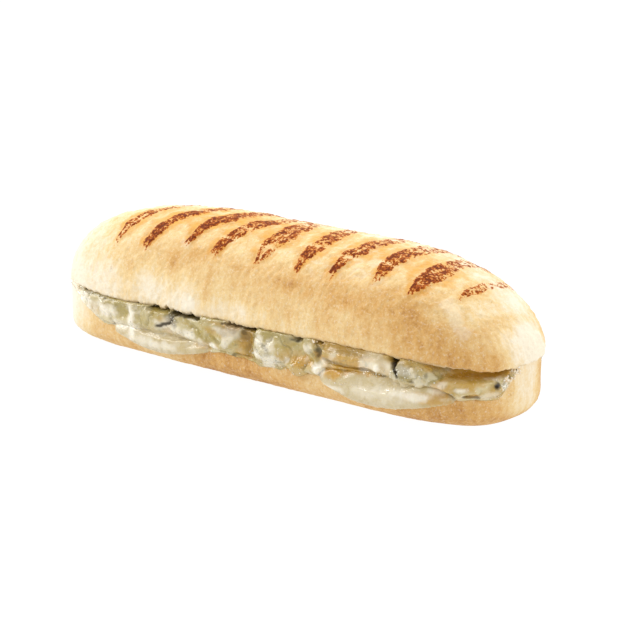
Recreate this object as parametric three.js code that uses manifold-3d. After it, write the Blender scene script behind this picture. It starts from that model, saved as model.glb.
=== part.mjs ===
// A grilled sandwich roll: a long soft roll cut along its length, with melted cheese spilling from the cut.
// Millimetres, +Z up. +X runs along the roll, and -Y is the side that shows the grill marks' pointed ends.
// The origin is in the middle of the footprint, on the surface that the roll rests on.

import * as THREE from 'three';
import { mergeVertices } from 'three/addons/utils/BufferGeometryUtils.js';
import Module from 'manifold-3d';

const wasm = await Module();
wasm.setup();

// The roll: its left and right ends differ a little in bluntness
const rollLength = 240;
const rollWidth = 70;
const cutHeight = 24.8;
const crownHeight = 35.1;
const planPower = { left: 5.85, right: 7.17, across: 2.3 };
const crownPower = { left: 4.1, right: 3.5, root: 1.85 };
const crownTilt = -0.04;
const crownBow = 0.07;
const sectionPower = { across: 2.6, up: 2.1 };
const edgeRound = { radius: 1.1, fullFrom: 12 };

// The bottom half, a shallow tray whose walls curve in to a flat underside
const trayLength = 237.6;
const trayWidth = 69.6;
const trayHeight = 12.8;
const wallCurve = { height: 9.2, power: 3, atSides: 10.7, atLeft: 3.5, atRight: 6 };

// The cut is a little wavy
const cutWaves = [
  { at: -72, width: 24, rise: -1.4 },
  { at: 62, width: 32, rise: 1.35 },
  { at: 112, width: 9, rise: -1.1 },
  { at: 122, width: 3, rise: 1.2 },
];

// The tray's rim curls up to the top half at the left end, and from the middle of the right end to the back
const leftCurl = { rise: 10.4, front: { from: -74, to: -105 }, back: { from: -78, to: -108 } };
const rightCurl = { rise: 11.5, along: { from: 104, to: 116 }, across: { from: -13, to: 1 } };
const touchGap = 0.35;
const cutGap = 0.2;

// Inside the rim the cut face dips a little, and more along its middle, where the rim curls up to the top half
const nest = { inset: 5, below: 2.4 };
const spine = { along: 0.8, across: 0.06, below: 3.5 };

// The grill marks are shallow grooves that lean across the crown
const markCount = 10;
const markPitch = 19.4;
const firstMark = -66.5;
const markShifts = [0.5, 0.2, 1.7, 0.7, -0.3, 1.8, 1.1, 0.2, -3.4, -7.1];
const markLean = { middle: 0.15, perMillimetre: -0.0016, fadesOver: 24 };
const markDepth = 0.9;
const markHalfWidth = 3.2;
const markSteepness = 4;
const pressed = { from: 46, to: 52 };

// The melted cheese between the halves
const meltGap = 0.45;
const meltInset = 1.6;
const meltBelly = { depth: 2.2, lean: 0.8, fullness: 0.7 };
const meltFar = 16;
const meltLift = 12;
const meltTuck = 0.8;
const roomForMelt = { closed: 1.5, open: 5, wide: 8, inset: 6 };
const meltSwells = [
  { side: -1, at: -48, width: 17, rise: 1.7 },
  { side: -1, at: 9, width: 5, rise: -2 },
  { side: -1, at: 38, width: 5, rise: -2 },
  { side: -1, at: 61, width: 12, rise: 0.8 },
  { side: -1, at: 108, width: 10, rise: 0.6 },
  { side: 1, at: -60, width: 14, rise: 1.4 },
  { side: 1, at: -18, width: 8, rise: -2 },
  { side: 1, at: 30, width: 16, rise: 1.2 },
  { side: 1, at: 78, width: 9, rise: -2 },
];

// Above a ledge at the right of the front, the cheese lies deep under the top half, and less so beside it
const ledge = { depth: 7, along: { from: 90, to: 104 }, across: { from: 4, to: -2 }, low: 0.5, high: 0.72 };
const recess = { at: 62, width: 15, rise: -2.4, low: 0.3, high: 0.9 };

// Soft slices: where along the roll, the heights between which they show, and how thick they are.
// Those that start below layTop lie on the tray and hang over its edge. The others stand in the cut.
const slices = [
  { name: 'slice_front_left', side: -1, from: -73, to: -9, top: 12.8, low: 6, thick: 2.1, lowest: 0.5 },
  { name: 'slice_front_right', side: -1, from: 45, to: 111, top: 12.8, low: 5.6, thick: 2.3, lowest: 0.45 },
  { name: 'slice_front_end', side: -1, from: 101, to: 115.5, top: 17.6, low: 14, thick: 1.6, lowest: 0.5 },
  { name: 'slice_front_upper', side: -1, from: 48, to: 75, top: 22.6, low: 18.6, thick: 1.7, lowest: 0.55 },
  { name: 'slice_back_left', side: 1, from: -92, to: -30, top: 12.8, low: 5.8, thick: 2.2, lowest: 0.45 },
  { name: 'slice_back_right', side: 1, from: 20, to: 88, top: 12.8, low: 6.8, thick: 2.1, lowest: 0.6 },
];
const layTop = 14;
const standOut = { slice_front_end: -0.8, slice_front_upper: 0.1 };
const slicePathParts = { reach: 9, flat: 0.4, bendIn: 0.3, bendDown: 0.2, lip: 1.6 };
const sliceEnds = { fullness: 1.7, falloff: 1.1, thin: 0.35, edge: 0.45 };
const hangGap = 0.6;
const liftFar = 10;
const liftNear = 3;

// Soft lumps of cheese: place along the roll, height, how far they stand out, and half sizes
const lumps = [
  { name: 'curd_end_left', side: -1, at: -88, z: 20.4, out: -2.6, long: 8.5, deep: 3.6, tall: 2.6 },
  { name: 'curd_left', side: -1, at: -71, z: 19.8, out: -2.6, long: 6.4, deep: 4, tall: 3.2 },
  { name: 'blue_crumb_veined', side: -1, at: -30, z: 19.2, out: -2.8, long: 6.8, deep: 4, tall: 4 },
  { name: 'curd_bubble', side: -1, at: -2, z: 17.6, out: -2.4, long: 7.4, deep: 4.4, tall: 4.3 },
  { name: 'blue_crumb_middle', side: -1, at: 21.5, z: 17.4, out: -2.2, long: 10.6, deep: 4.8, tall: 5.8 },
  { name: 'curd_ball', side: -1, at: 42.6, z: 22.2, out: -2.2, long: 3.6, deep: 3.2, tall: 2.9 },
  { name: 'curd_drip', side: -1, at: 37.6, z: 13.2, out: 0.7, long: 4.6, deep: 1.9, tall: 3.2 },
  { name: 'curd_shiny', side: -1, at: 78.2, z: 22, out: -1.8, long: 3.2, deep: 3, tall: 3.4 },
  { name: 'blue_crumb_right', side: -1, at: 92.4, z: 20, out: -2, long: 10.6, deep: 4.6, tall: 5.2 },
  { name: 'blue_crumb_end', side: -1, at: 117, z: 15.6, out: -2, long: 3.7, deep: 2.8, tall: 2.6 },
  { name: 'blue_crumb_back_left', side: 1, at: -98, z: 20, out: -2.6, long: 7.6, deep: 3.8, tall: 3.2 },
  { name: 'curd_back', side: 1, at: -22, z: 17.6, out: -2.4, long: 8.6, deep: 4.4, tall: 5 },
  { name: 'blue_crumb_back_middle', side: 1, at: 5, z: 18.8, out: -2.4, long: 9, deep: 4.2, tall: 4.4 },
  { name: 'curd_back_right', side: 1, at: 58, z: 20.4, out: -2.2, long: 7.8, deep: 3.8, tall: 3.9 },
  { name: 'blue_crumb_back_right', side: 1, at: 100, z: 18.4, out: -2.4, long: 7.6, deep: 4.2, tall: 4.4 },
];
const lumpFolds = { depth: 0.13, along: 3.1, up: 3.7, across: 5.3, slant: 4.1, turnAlong: 1.7, turnUp: 2.3 };

// Mesh fineness
const rimCount = 76;
const rimSamples = 2000;
const rimTolerance = 1e-6;
const crownSteps = 18;
const faceSteps = 5;
const leanPasses = 6;
const leftStations = 9;
const rightStations = 5;
const betweenMarks = [-0.16, 0, 0.16, 0.5];
const wallParts = [0, 0.08, 0.22, 0.5, 1];
const lipParts = [0, 0.18, 0.42, 0.6, 0.78, 1];
const sliceStations = 12;
const sliceSpread = 0.976;
const sliceSteps = 6;
const lumpDetail = { small: 1, large: 2, largeFrom: 5 };
const socketDetail = 1;
const socketGap = 1;

const crustTop = new THREE.MeshStandardMaterial({ color: 0xe9c78f, roughness: 0.78, metalness: 0 });
const crustBottom = new THREE.MeshStandardMaterial({ color: 0xdcb277, roughness: 0.8, metalness: 0 });
const meltedCheese = new THREE.MeshStandardMaterial({ color: 0xcdbd8b, roughness: 0.35, metalness: 0 });
const paleSlice = new THREE.MeshStandardMaterial({ color: 0xdcd2b2, roughness: 0.32, metalness: 0 });
const paleCurd = new THREE.MeshStandardMaterial({ color: 0xd8cda6, roughness: 0.3, metalness: 0 });
const veinedCurd = new THREE.MeshStandardMaterial({ color: 0xbfb9a0, roughness: 0.4, metalness: 0 });

// Small shaping functions

function smooth(value, from, to) {
  return THREE.MathUtils.smoothstep((value - from) / (to - from), 0, 1);
}

function swell(x, { at, width, rise }) {
  return rise * Math.exp(-(((x - at) / width) ** 2));
}

function signedPower(value, power) {
  return Math.sign(value) * Math.abs(value) ** power;
}

function byEnd(x, { left, right }) {
  return x < 0 ? left : right;
}

// How full the outline still is at x, from 1 in the middle to 0 at the tips
function fullness(x, length, power) {
  return Math.max(0, 1 - Math.abs((2 * x) / length) ** byEnd(x, power));
}

function outlineHalfWidth(x, length, width) {
  return (width / 2) * fullness(x, length, planPower) ** (1 / planPower.across);
}

function cutLevel(x) {
  return cutHeight + cutWaves.reduce((sum, wave) => sum + swell(x, wave), 0);
}

function smoothOver(value, { from, to }) {
  return smooth(value, from, to);
}

// Height of the tray's rim
function trayLevel(x, y) {
  const left = leftCurl.rise * smoothOver(x, y < 0 ? leftCurl.front : leftCurl.back);
  const right = rightCurl.rise * smoothOver(x, rightCurl.along) * smoothOver(y, rightCurl.across);
  return Math.min(trayHeight + left + right, cutLevel(x) - touchGap);
}

function crownRise(x) {
  const part = (2 * x) / rollLength;
  const sway = 1 + crownTilt * part + crownBow * part ** 2;
  return crownHeight * sway * fullness(x, rollLength, crownPower) ** (1 / crownPower.root);
}

// Solids are skins over rings of points

function ringFaces(ringCount, around) {
  const faces = [];
  for (let ring = 0; ring < ringCount - 1; ring++) {
    for (let i = 0; i < around; i++) {
      const next = (i + 1) % around;
      const low = ring * around;
      const high = low + around;
      faces.push([low + i, low + next, high + i]);
      faces.push([low + next, high + next, high + i]);
    }
  }
  return faces;
}

// A body whose first and last rings close on one point each
function pointedSkin(rings, firstTip, lastTip) {
  const around = rings[0].length;
  const first = rings.length * around;
  const lastRing = first - around;
  const faces = ringFaces(rings.length, around);
  for (let i = 0; i < around; i++) {
    const next = (i + 1) % around;
    faces.push([first, next, i]);
    faces.push([first + 1, lastRing + i, lastRing + next]);
  }
  return solidOf([...rings.flat(), firstTip, lastTip], faces);
}

// A sheet: each ring runs out along one face and back along the other, and both ends close like a zip
function sheetSkin(rings) {
  const around = rings[0].length;
  const lastRing = (rings.length - 1) * around;
  const faces = ringFaces(rings.length, around);
  for (let i = 0; i < around / 2 - 1; i++) {
    const back = around - 1 - i;
    faces.push([i, back, i + 1], [i + 1, back, back - 1]);
    faces.push([lastRing + i, lastRing + i + 1, lastRing + back]);
    faces.push([lastRing + i + 1, lastRing + back - 1, lastRing + back]);
  }
  return solidOf(rings.flat(), faces);
}

// Faces that close a ring by joining its front half to its back half, like a zip
function zipFaces(first, around) {
  const faces = [];
  for (let step = 0; step < around / 2; step++) {
    const near = first + step;
    const far = first + ((around - step) % around);
    const farNext = first + around - step - 1;
    if (step > 0) {
      faces.push([near, near + 1, far]);
    }
    if (step < around / 2 - 1) {
      faces.push([near + 1, farNext, far]);
    }
  }
  return faces;
}

// A body of closed rows, from a flat row at the middle of its underside to another at the middle of its top
function zippedSkin(rows) {
  const around = rows[0].length;
  const under = zipFaces(0, around).map(([a, b, c]) => [a, c, b]);
  const over = zipFaces((rows.length - 1) * around, around);
  return solidOf(rows.flat(), [...ringFaces(rows.length, around), ...under, ...over]);
}

function solidOf(points, faces) {
  const volume = faces.reduce((sum, [a, b, c]) => {
    return sum + points[a].dot(new THREE.Vector3().crossVectors(points[b], points[c]));
  }, 0);
  const outward = volume > 0 ? faces : faces.map(([a, b, c]) => [a, c, b]);
  return new wasm.Manifold(new wasm.Mesh({
    numProp: 3,
    vertProperties: new Float32Array(points.flatMap((point) => point.toArray())),
    triVerts: new Uint32Array(outward.flat()),
  }));
}

function largestBody(solid) {
  const bodies = solid.decompose();
  return bodies.sort((a, b) => b.volume() - a.volume())[0];
}

function cutBy(solid, tools) {
  return largestBody(tools.reduce((rest, tool) => rest.subtract(tool), solid));
}

// Top half: sections across the roll that lean with the grill marks

function markLine(index) {
  return firstMark + index * markPitch + markShifts[index];
}

function leanAt(x) {
  const lean = markLean.middle + markLean.perMillimetre * x;
  return lean * smooth(Math.abs(x), rollLength / 2, rollLength / 2 - markLean.fadesOver);
}

function grooveDepth(x, y, z) {
  let depth = 0;
  for (let index = 0; index < markCount; index++) {
    const middle = markLine(index) + leanAt(markLine(index)) * y;
    depth += Math.exp(-(((x - middle) / markHalfWidth) ** markSteepness));
  }
  return markDepth * smooth(z, pressed.from, pressed.to) * Math.min(depth, 1);
}

function endStations(from, to, count) {
  const stations = [];
  for (let step = 1; step < count; step++) {
    stations.push(THREE.MathUtils.lerp(from, to, (step / count) ** 2));
  }
  return stations;
}

function crownStations() {
  const half = rollLength / 2;
  const middle = [];
  for (let index = 0; index < markCount; index++) {
    middle.push(...betweenMarks.map((part) => markLine(index) + part * markPitch));
  }
  middle.pop();
  const left = endStations(-half, middle[0], leftStations);
  const right = endStations(half, middle[middle.length - 1], rightStations);
  return [...left, ...middle, ...right.reverse()];
}

function leaningPoint(station, across, grow) {
  let y = 0;
  let x = station;
  for (let pass = 0; pass < leanPasses; pass++) {
    y = across * (outlineHalfWidth(x, rollLength, rollWidth) + grow);
    x = station + leanAt(station) * y;
  }
  return { x, y };
}

function crownRing(station, grow) {
  const width = outlineHalfWidth(station, rollLength, rollWidth);
  const inset = 1 - Math.min(0.5, edgeRound.radius / width);
  const ring = [];
  for (let step = 0; step <= crownSteps; step++) {
    const angle = (Math.PI * step) / crownSteps;
    const across = -signedPower(Math.cos(angle), 2 / sectionPower.across);
    const { x, y } = leaningPoint(station, across, grow);
    const rise = (crownRise(x) + grow) * Math.abs(Math.sin(angle)) ** (2 / sectionPower.up);
    const edge = edgeRound.radius * Math.min(1, width / edgeRound.fullFrom) * Math.cos(angle) ** 2;
    const z = cutLevel(x) + rise + edge;
    ring.push(new THREE.Vector3(x, y, z - grooveDepth(x, y, z)));
  }
  for (let step = 0; step <= faceSteps; step++) {
    const { x, y } = leaningPoint(station, inset * (1 - (2 * step) / faceSteps), grow);
    ring.push(new THREE.Vector3(x, y, cutLevel(x) - grow));
  }
  return ring;
}

function topHalf(grow) {
  const tip = rollLength / 2 + grow;
  const rings = crownStations().map((station) => crownRing(station, grow));
  const [left, right] = [-tip, tip].map((x) => new THREE.Vector3(x, 0, cutLevel(x)));
  return pointedSkin(rings, left, right);
}

// Bottom half: rows that follow the rim all round, from the underside up the wall and in over the cut face

function outwardFrom(x, y) {
  const power = byEnd(x, planPower);
  const along = signedPower(x / (trayLength / 2), power - 1) / (trayLength / 2);
  const across = signedPower(y / (trayWidth / 2), planPower.across - 1) / (trayWidth / 2);
  return new THREE.Vector3(power * along, planPower.across * across, 0).normalize();
}

function rimPoint(x, side) {
  return new THREE.Vector3(x, side * outlineHalfWidth(x, trayLength, trayWidth), 0);
}

// Points evenly far apart round the rim: the front from left to right, then the back
function rimPoints() {
  const line = [];
  for (let sample = 0; sample <= rimSamples; sample++) {
    line.push(rimPoint((-trayLength / 2) * Math.cos((Math.PI * sample) / rimSamples), -1));
  }
  const runs = [0];
  for (let sample = 1; sample <= rimSamples; sample++) {
    runs.push(runs[sample - 1] + line[sample].distanceTo(line[sample - 1]));
  }
  const front = [];
  for (let step = 0; step <= rimCount / 2; step++) {
    const run = (2 * step * runs[rimSamples]) / rimCount;
    front.push(line[Math.max(0, runs.findIndex((length) => length >= run - rimTolerance))]);
  }
  const back = front.slice(1, -1).reverse().map((point) => new THREE.Vector3(point.x, -point.y, 0));
  return [...front, ...back];
}

function fromRim(point, out, z) {
  return point.clone().addScaledVector(outwardFrom(point.x, point.y), out).setZ(z);
}

// How far the wall stands in from the rim's outline at height z
function wallOut(point, z) {
  const outward = outwardFrom(point.x, point.y);
  const atEnd = byEnd(point.x, { left: wallCurve.atLeft, right: wallCurve.atRight });
  const inset = wallCurve.atSides * outward.y ** 2 + atEnd * outward.x ** 2;
  return -inset * Math.max(0, 1 - Math.max(z, 0) / wallCurve.height) ** wallCurve.power;
}

function nestLevel(x, y) {
  const inner = fromRim(new THREE.Vector3(x, y, 0), -nest.inset, 0);
  return Math.min(trayLevel(x, y), cutLevel(inner.x) - nest.below);
}

function spinePoint(point, z) {
  return new THREE.Vector3(spine.along * point.x, spine.across * point.y, z);
}

function spineLevel({ x, y }) {
  const between = (nestLevel(x, y) + nestLevel(x, -y)) / 2;
  return Math.min(between, cutLevel(spine.along * x) - spine.below);
}

// The cut face of the tray at a distance in from its rim
function onTrayFace(point, inset) {
  const level = trayLevel(point.x, point.y);
  const low = nestLevel(point.x, point.y);
  const toNest = Math.min(1, Math.max(0, inset) / nest.inset);
  const inner = fromRim(point, -nest.inset, low);
  const middle = spinePoint(point, spineLevel(point));
  const toMiddle = Math.max(0, inset - nest.inset) / inner.distanceTo(middle);
  const place = toMiddle > 0 ? inner.lerp(middle, toMiddle) : fromRim(point, -inset, 0);
  return toMiddle > 0 ? place : place.setZ(THREE.MathUtils.lerp(level, low, toNest));
}

function bottomHalf(grow) {
  const rim = rimPoints();
  const level = rim.map(({ x, y }) => trayLevel(x, y));
  const { radius } = edgeRound;
  const walls = wallParts.map((part) => rim.map((point, i) => {
    const z = part * (level[i] - radius);
    return fromRim(point, wallOut(point, z) + grow, part === 0 ? -grow : z);
  }));
  return zippedSkin([
    rim.map((point) => spinePoint(point, -grow)),
    ...walls,
    ...[radius, nest.inset].map((inset) => rim.map((point) => {
      const place = onTrayFace(point, inset);
      return place.setZ(place.z + grow);
    })),
    rim.map((point) => spinePoint(point, spineLevel(point) + grow)),
  ]);
}

// Melted layer between the halves: rows round the rim too, lifted where a slice lies under it

function underSlice({ x, y }) {
  const own = slices.filter((slice) => slice.side === Math.sign(y) && slice.top < layTop);
  return own.reduce((lift, { from, to, thick }) => {
    const inRange = smooth(x, from - liftFar, from - liftNear) * smooth(x, to + liftFar, to + liftNear);
    return Math.max(lift, (thick + 2 * touchGap) * inRange);
  }, 0);
}

function meltRoom(point) {
  return cutLevel(point.x) - trayLevel(point.x, point.y) - 2 * meltGap - underSlice(point);
}

// How far the cheese reaches out at a part of its height, from 0 at the tray to 1 at the top half
function meltOut(point, part) {
  const { x, y } = point;
  const room = meltRoom(point);
  const own = meltSwells.filter((place) => place.side === Math.sign(y));
  const closing = roomForMelt.inset * (1 - smooth(room, roomForMelt.closed, roomForMelt.open));
  const edge = own.reduce((sum, place) => sum + swell(x, place), -meltInset - closing);
  const belly = Math.sin(Math.PI * part ** meltBelly.lean) ** meltBelly.fullness;
  const aboveLedge = smoothOver(x, ledge.along) * smoothOver(y, ledge.across);
  const onLedge = aboveLedge * smooth(part, ledge.low, ledge.high);
  const inRecess = y < 0 ? swell(x, recess) * smooth(part, recess.low, recess.high) : 0;
  const swollen = meltBelly.depth * smooth(room, 0, roomForMelt.wide) * belly;
  return edge + swollen - ledge.depth * onLedge + inRecess;
}

function meltRow(rim, insetOf, heightOf) {
  return rim.map((point) => {
    const place = onTrayFace(point, insetOf(point));
    return place.setZ(heightOf(point, place));
  });
}

function meltLayer() {
  const rim = rimPoints();
  const onFace = (point, place) => place.z + meltGap;
  const lifted = (point, place) => place.z + meltGap + underSlice(point);
  const high = (point, place) => cutLevel(place.x) - meltGap;
  return zippedSkin([
    rim.map((point) => spinePoint(point, spineLevel(point) + meltGap)),
    meltRow(rim, () => meltFar, onFace),
    meltRow(rim, () => meltLift, lifted),
    meltRow(rim, (point) => Math.max(nest.inset, meltTuck - meltOut(point, 0)), lifted),
    ...lipParts.map((part) => meltRow(rim, (point) => -meltOut(point, part), (point, place) => {
      return THREE.MathUtils.lerp(lifted(point, place), high(point, place), part);
    })),
    meltRow(rim, (point) => Math.max(meltLift, meltTuck - meltOut(point, 1)), high),
    rim.map((point) => spinePoint(point, cutLevel(spine.along * point.x) - meltGap)),
  ]);
}

// Slices: a path that leaves the cut, bends over the tray's edge and hangs down its wall

function slicePath(slice, point, low) {
  const lies = slice.top < layTop;
  const start = lies ? trayLevel(point.x, point.y) - hangGap + touchGap : slice.top;
  const hangOut = (z) => (lies ? wallOut(point, z) : standOut[slice.name]);
  const middle = (start + low) / 2;
  const { reach, flat, bendIn, bendDown } = slicePathParts;
  const corners = [
    [-reach, start],
    [-flat * reach, start],
    [hangOut(start) - bendIn, start - bendDown],
    [hangOut(middle), middle],
    [hangOut(low), low],
  ];
  const bend = new THREE.CatmullRomCurve3(corners.map(([out, z]) => new THREE.Vector3(out, 0, z)));
  return bend.getSpacedPoints(sliceSteps);
}

function sliceRing(slice, part, grow) {
  const end = part < 0.5 ? -1 : 1;
  const isEnd = Math.abs(2 * part - 1) > sliceSpread - 0.001;
  const x = THREE.MathUtils.lerp(slice.from, slice.to, part);
  const point = rimPoint(x, slice.side);
  const { lowest } = slice;
  const fromLowest = part < lowest ? 1 - part / lowest : (part - lowest) / (1 - lowest);
  const sag = (1 - fromLowest ** sliceEnds.fullness) ** sliceEnds.falloff;
  const path = slicePath(slice, point, THREE.MathUtils.lerp(slice.top - slicePathParts.lip, slice.low, sag));
  const half = (slice.thick / 2) * THREE.MathUtils.lerp(sliceEnds.thin, 1, Math.sqrt(sag));
  const faces = [1, -1].map((face) => path.map(({ x: out, z }, step) => {
    const before = path[Math.max(0, step - 1)];
    const after = path[Math.min(path.length - 1, step + 1)];
    const run = new THREE.Vector2(after.x - before.x, after.z - before.z).normalize();
    const edge = step === 0 ? -1 : step === path.length - 1 ? 1 : 0;
    const lift = hangGap + half + face * (half * (edge ? sliceEnds.edge : 1) + grow);
    const across = out - run.y * lift + run.x * edge * grow;
    const place = fromRim(point, across, z + run.x * lift + run.y * edge * grow);
    place.x += isEnd ? end * grow : 0;
    return place;
  }));
  return [...faces[0], ...faces[1].reverse()];
}

function slicePiece(slice, grow) {
  const rings = [];
  for (let station = 0; station <= sliceStations; station++) {
    const part = (1 - sliceSpread * Math.cos((Math.PI * station) / sliceStations)) / 2;
    rings.push(sliceRing(slice, part, grow));
  }
  return sheetSkin(rings);
}

// Lumps: uneven rounded bodies set along the rim

function detailOf(lump) {
  return lump.long < lumpDetail.largeFrom ? lumpDetail.small : lumpDetail.large;
}

function lumpPiece(lump, index, grow, detail) {
  const rim = rimPoint(lump.at, lump.side);
  const outward = outwardFrom(rim.x, rim.y);
  const along = new THREE.Vector3(-outward.y, outward.x, 0);
  const centre = fromRim(rim, lump.out, lump.z);
  const ball = new THREE.IcosahedronGeometry(1, detail).deleteAttribute('normal').deleteAttribute('uv');
  const { position } = mergeVertices(ball).attributes;
  const points = [];
  for (let i = 0; i < position.count; i++) {
    const unit = new THREE.Vector3().fromBufferAttribute(position, i);
    const alongFold = Math.sin(lumpFolds.along * unit.x + lumpFolds.turnAlong * index);
    const broad = alongFold * Math.sin(lumpFolds.up * unit.z + lumpFolds.turnUp * index);
    const fine = Math.sin(lumpFolds.across * unit.y + lumpFolds.slant * unit.x + index);
    const swollen = 1 + lumpFolds.depth * (broad + fine / 2);
    points.push(centre.clone()
      .addScaledVector(along, unit.x * (lump.long * swollen + grow))
      .addScaledVector(outward, unit.y * (lump.deep * swollen + grow))
      .setZ(lump.z + unit.z * (lump.tall * swollen + grow)));
  }
  const corners = mergeVertices(ball).index.array;
  const faces = [];
  for (let i = 0; i < corners.length; i += 3) {
    faces.push([corners[i], corners[i + 1], corners[i + 2]]);
  }
  return solidOf(points, faces);
}

// Pieces, each cut clear of the ones that it rests on

function meshOf(name, solid, material) {
  const { vertProperties, triVerts } = solid.getMesh();
  const geometry = new THREE.BufferGeometry();
  geometry.setAttribute('position', new THREE.BufferAttribute(vertProperties, 3));
  geometry.setIndex(new THREE.BufferAttribute(triVerts, 1));
  geometry.computeVertexNormals();
  const mesh = new THREE.Mesh(geometry, material);
  mesh.name = name;
  return mesh;
}

function buildRoll() {
  const roll = new THREE.Group();
  roll.add(meshOf('bread_top', topHalf(0), crustTop));
  roll.add(meshOf('bread_bottom', bottomHalf(0), crustBottom));
  const halves = [topHalf(cutGap), bottomHalf(cutGap)];
  const tools = [...halves];
  const sockets = [];
  for (const slice of slices) {
    roll.add(meshOf(slice.name, cutBy(slicePiece(slice, 0), tools), paleSlice));
    tools.push(slicePiece(slice, touchGap));
    if (slice.top > layTop) {
      sockets.push(slicePiece(slice, touchGap));
    }
  }
  lumps.forEach((lump, index) => {
    const material = lump.name.startsWith('blue') ? veinedCurd : paleCurd;
    roll.add(meshOf(lump.name, cutBy(lumpPiece(lump, index, 0, detailOf(lump)), tools), material));
    tools.push(lumpPiece(lump, index, touchGap, detailOf(lump)));
    sockets.push(lumpPiece(lump, index, socketGap, socketDetail));
  });
  roll.add(meshOf('cheese_melt', cutBy(meltLayer(), [...halves, ...sockets]), meltedCheese));
  const middle = new THREE.Box3().setFromObject(roll).getCenter(new THREE.Vector3());
  roll.position.set(-middle.x, -middle.y, 0);
  return roll;
}

export default buildRoll();
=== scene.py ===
import bpy
import numpy as np
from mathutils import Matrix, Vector


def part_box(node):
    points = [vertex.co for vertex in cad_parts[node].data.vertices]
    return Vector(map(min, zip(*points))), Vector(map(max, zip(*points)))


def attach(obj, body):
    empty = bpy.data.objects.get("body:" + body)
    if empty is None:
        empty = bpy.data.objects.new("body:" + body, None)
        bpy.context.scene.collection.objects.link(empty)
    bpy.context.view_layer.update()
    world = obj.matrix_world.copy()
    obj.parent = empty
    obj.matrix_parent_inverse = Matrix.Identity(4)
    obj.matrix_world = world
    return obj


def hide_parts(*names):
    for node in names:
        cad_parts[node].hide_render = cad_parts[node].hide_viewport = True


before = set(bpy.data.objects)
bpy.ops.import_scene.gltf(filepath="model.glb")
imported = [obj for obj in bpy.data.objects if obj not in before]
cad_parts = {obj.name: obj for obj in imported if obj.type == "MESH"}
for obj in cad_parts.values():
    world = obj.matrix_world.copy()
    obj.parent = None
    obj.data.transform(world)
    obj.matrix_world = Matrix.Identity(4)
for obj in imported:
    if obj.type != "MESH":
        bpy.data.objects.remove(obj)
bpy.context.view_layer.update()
print("frame loaded")

mm = 0.001  # the dictionaries below are in millimetres, but for the studio's, and the meshes in metres
topLow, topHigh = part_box("bread_top")
middleY = (topLow.y + topHigh.y) / 2 / mm  # the roll's middle line, which the shapes below count from


# small shaping tools, all of them on whole arrays of points

def ease(value, start, end):
    # 0 at the start and 1 at the end, with a soft rise between them
    part = np.clip((value - start) / (end - start), 0, 1)
    return part * part * (3 - 2 * part)


def patch(form, *values):
    # the dictionaries give an amount, and for each value where it starts to ease in and where it is full
    amount, *spans = form
    for value, span in zip(values, spans):
        amount = amount * ease(value, *span)
    return amount


def hump(x, at, width):
    return np.exp(-(((x - at) / width) ** 2))


noiseCells = {
    "values": 8192, "shift": 7.31, "mixers": (73856093, 19349663, 83492791),
    "turned": np.array([[0.36, 0.48, -0.8], [-0.8, 0.6, 0], [0.48, 0.64, 0.6]]),
    "finer": 2.1, "fainter": 1.9,  # how much from each layer to the next
}


def softNoise(points, size, seed):
    # random values from -1 to 1 on a grid of cells of this size, eased from one to the next
    # the seed, a whole number, sets the pattern
    count = noiseCells["values"]
    values = np.random.default_rng(seed).uniform(-1, 1, count)
    cells = points @ noiseCells["turned"] / size + seed * noiseCells["shift"]
    base = np.floor(cells).astype(np.int64)
    part = ease(cells - base, 0, 1)
    total = np.zeros(len(points))
    for corner in np.ndindex(2, 2, 2):
        first, second, third = ((base + np.array(corner)) * np.array(noiseCells["mixers"])).T
        weight = np.prod(np.where(np.array(corner), part, 1 - part), axis=1)
        total += weight * values[(first ^ second ^ third) % count]
    return total


def layeredNoise(points, size, seed, layers):
    total = np.zeros(len(points))
    for layer in range(layers):
        fade = noiseCells["fainter"] ** layer
        total += softNoise(points, size / noiseCells["finer"] ** layer, seed + layer) / fade
    return total


def rough(points, form, shift=0):
    # the dictionaries give how strong a noise is, the size of its cells, its seed and how many layers
    amount, size, seed, layers = form
    return amount * layeredNoise(points, size, seed + shift, layers)


def flattened(points, keep=0):
    # the same points with their height shrunk, so that a noise runs straight up through them
    return points * np.array([1, 1, keep])


def centred(points):
    return points - np.array([0, middleY, 0])


def meshFrom(name, points, faces):
    mesh = bpy.data.meshes.new(name)
    mesh.from_pydata((np.asarray(points) * mm).tolist(), [], faces)
    mesh.validate()
    mesh.update()
    piece = bpy.data.objects.new(name, mesh)
    bpy.context.scene.collection.objects.link(piece)
    mesh.shade_smooth()
    return piece


def ringFaces(ringCount, around):
    # faces of a skin over closed rings of points
    faces = []
    for ring in range(ringCount - 1):
        low = ring * around
        high = low + around
        for i in range(around):
            after = (i + 1) % around
            faces.append((low + i, low + after, high + after, high + i))
    return faces


def tipFaces(ringCount, around):
    # faces that close the first and the last ring, each on a point that follows all the rings
    first = ringCount * around
    last = first - around
    faces = []
    for i in range(around):
        after = (i + 1) % around
        faces.append((first, after, i))
        faces.append((first + 1, last + i, last + after))
    return faces


def zipFaces(first, around, upward):
    # faces that close a row by joining its front half to its back half
    faces = []
    for i in range(around // 2):
        corners = [i, i + 1, around - i - 1, (around - i) % around]
        face = [first + corner for corner in dict.fromkeys(corners)]
        faces.append(face if upward else face[::-1])
    return faces


def gridNormals(grid):
    # outward normals of closed rows of points
    along = np.gradient(grid, axis=0)
    padded = np.concatenate([grid[:, -1:], grid, grid[:, :1]], axis=1)
    around = (padded[:, 2:] - padded[:, :-2]) / 2
    normals = np.cross(around, along)
    return normals / (np.linalg.norm(normals, axis=2, keepdims=True) + 1e-9)


def setValues(piece, name, values):
    layer = piece.data.attributes.new(name, "FLOAT", "POINT")
    layer.data.foreach_set("value", np.asarray(values, dtype=np.float32))


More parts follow.
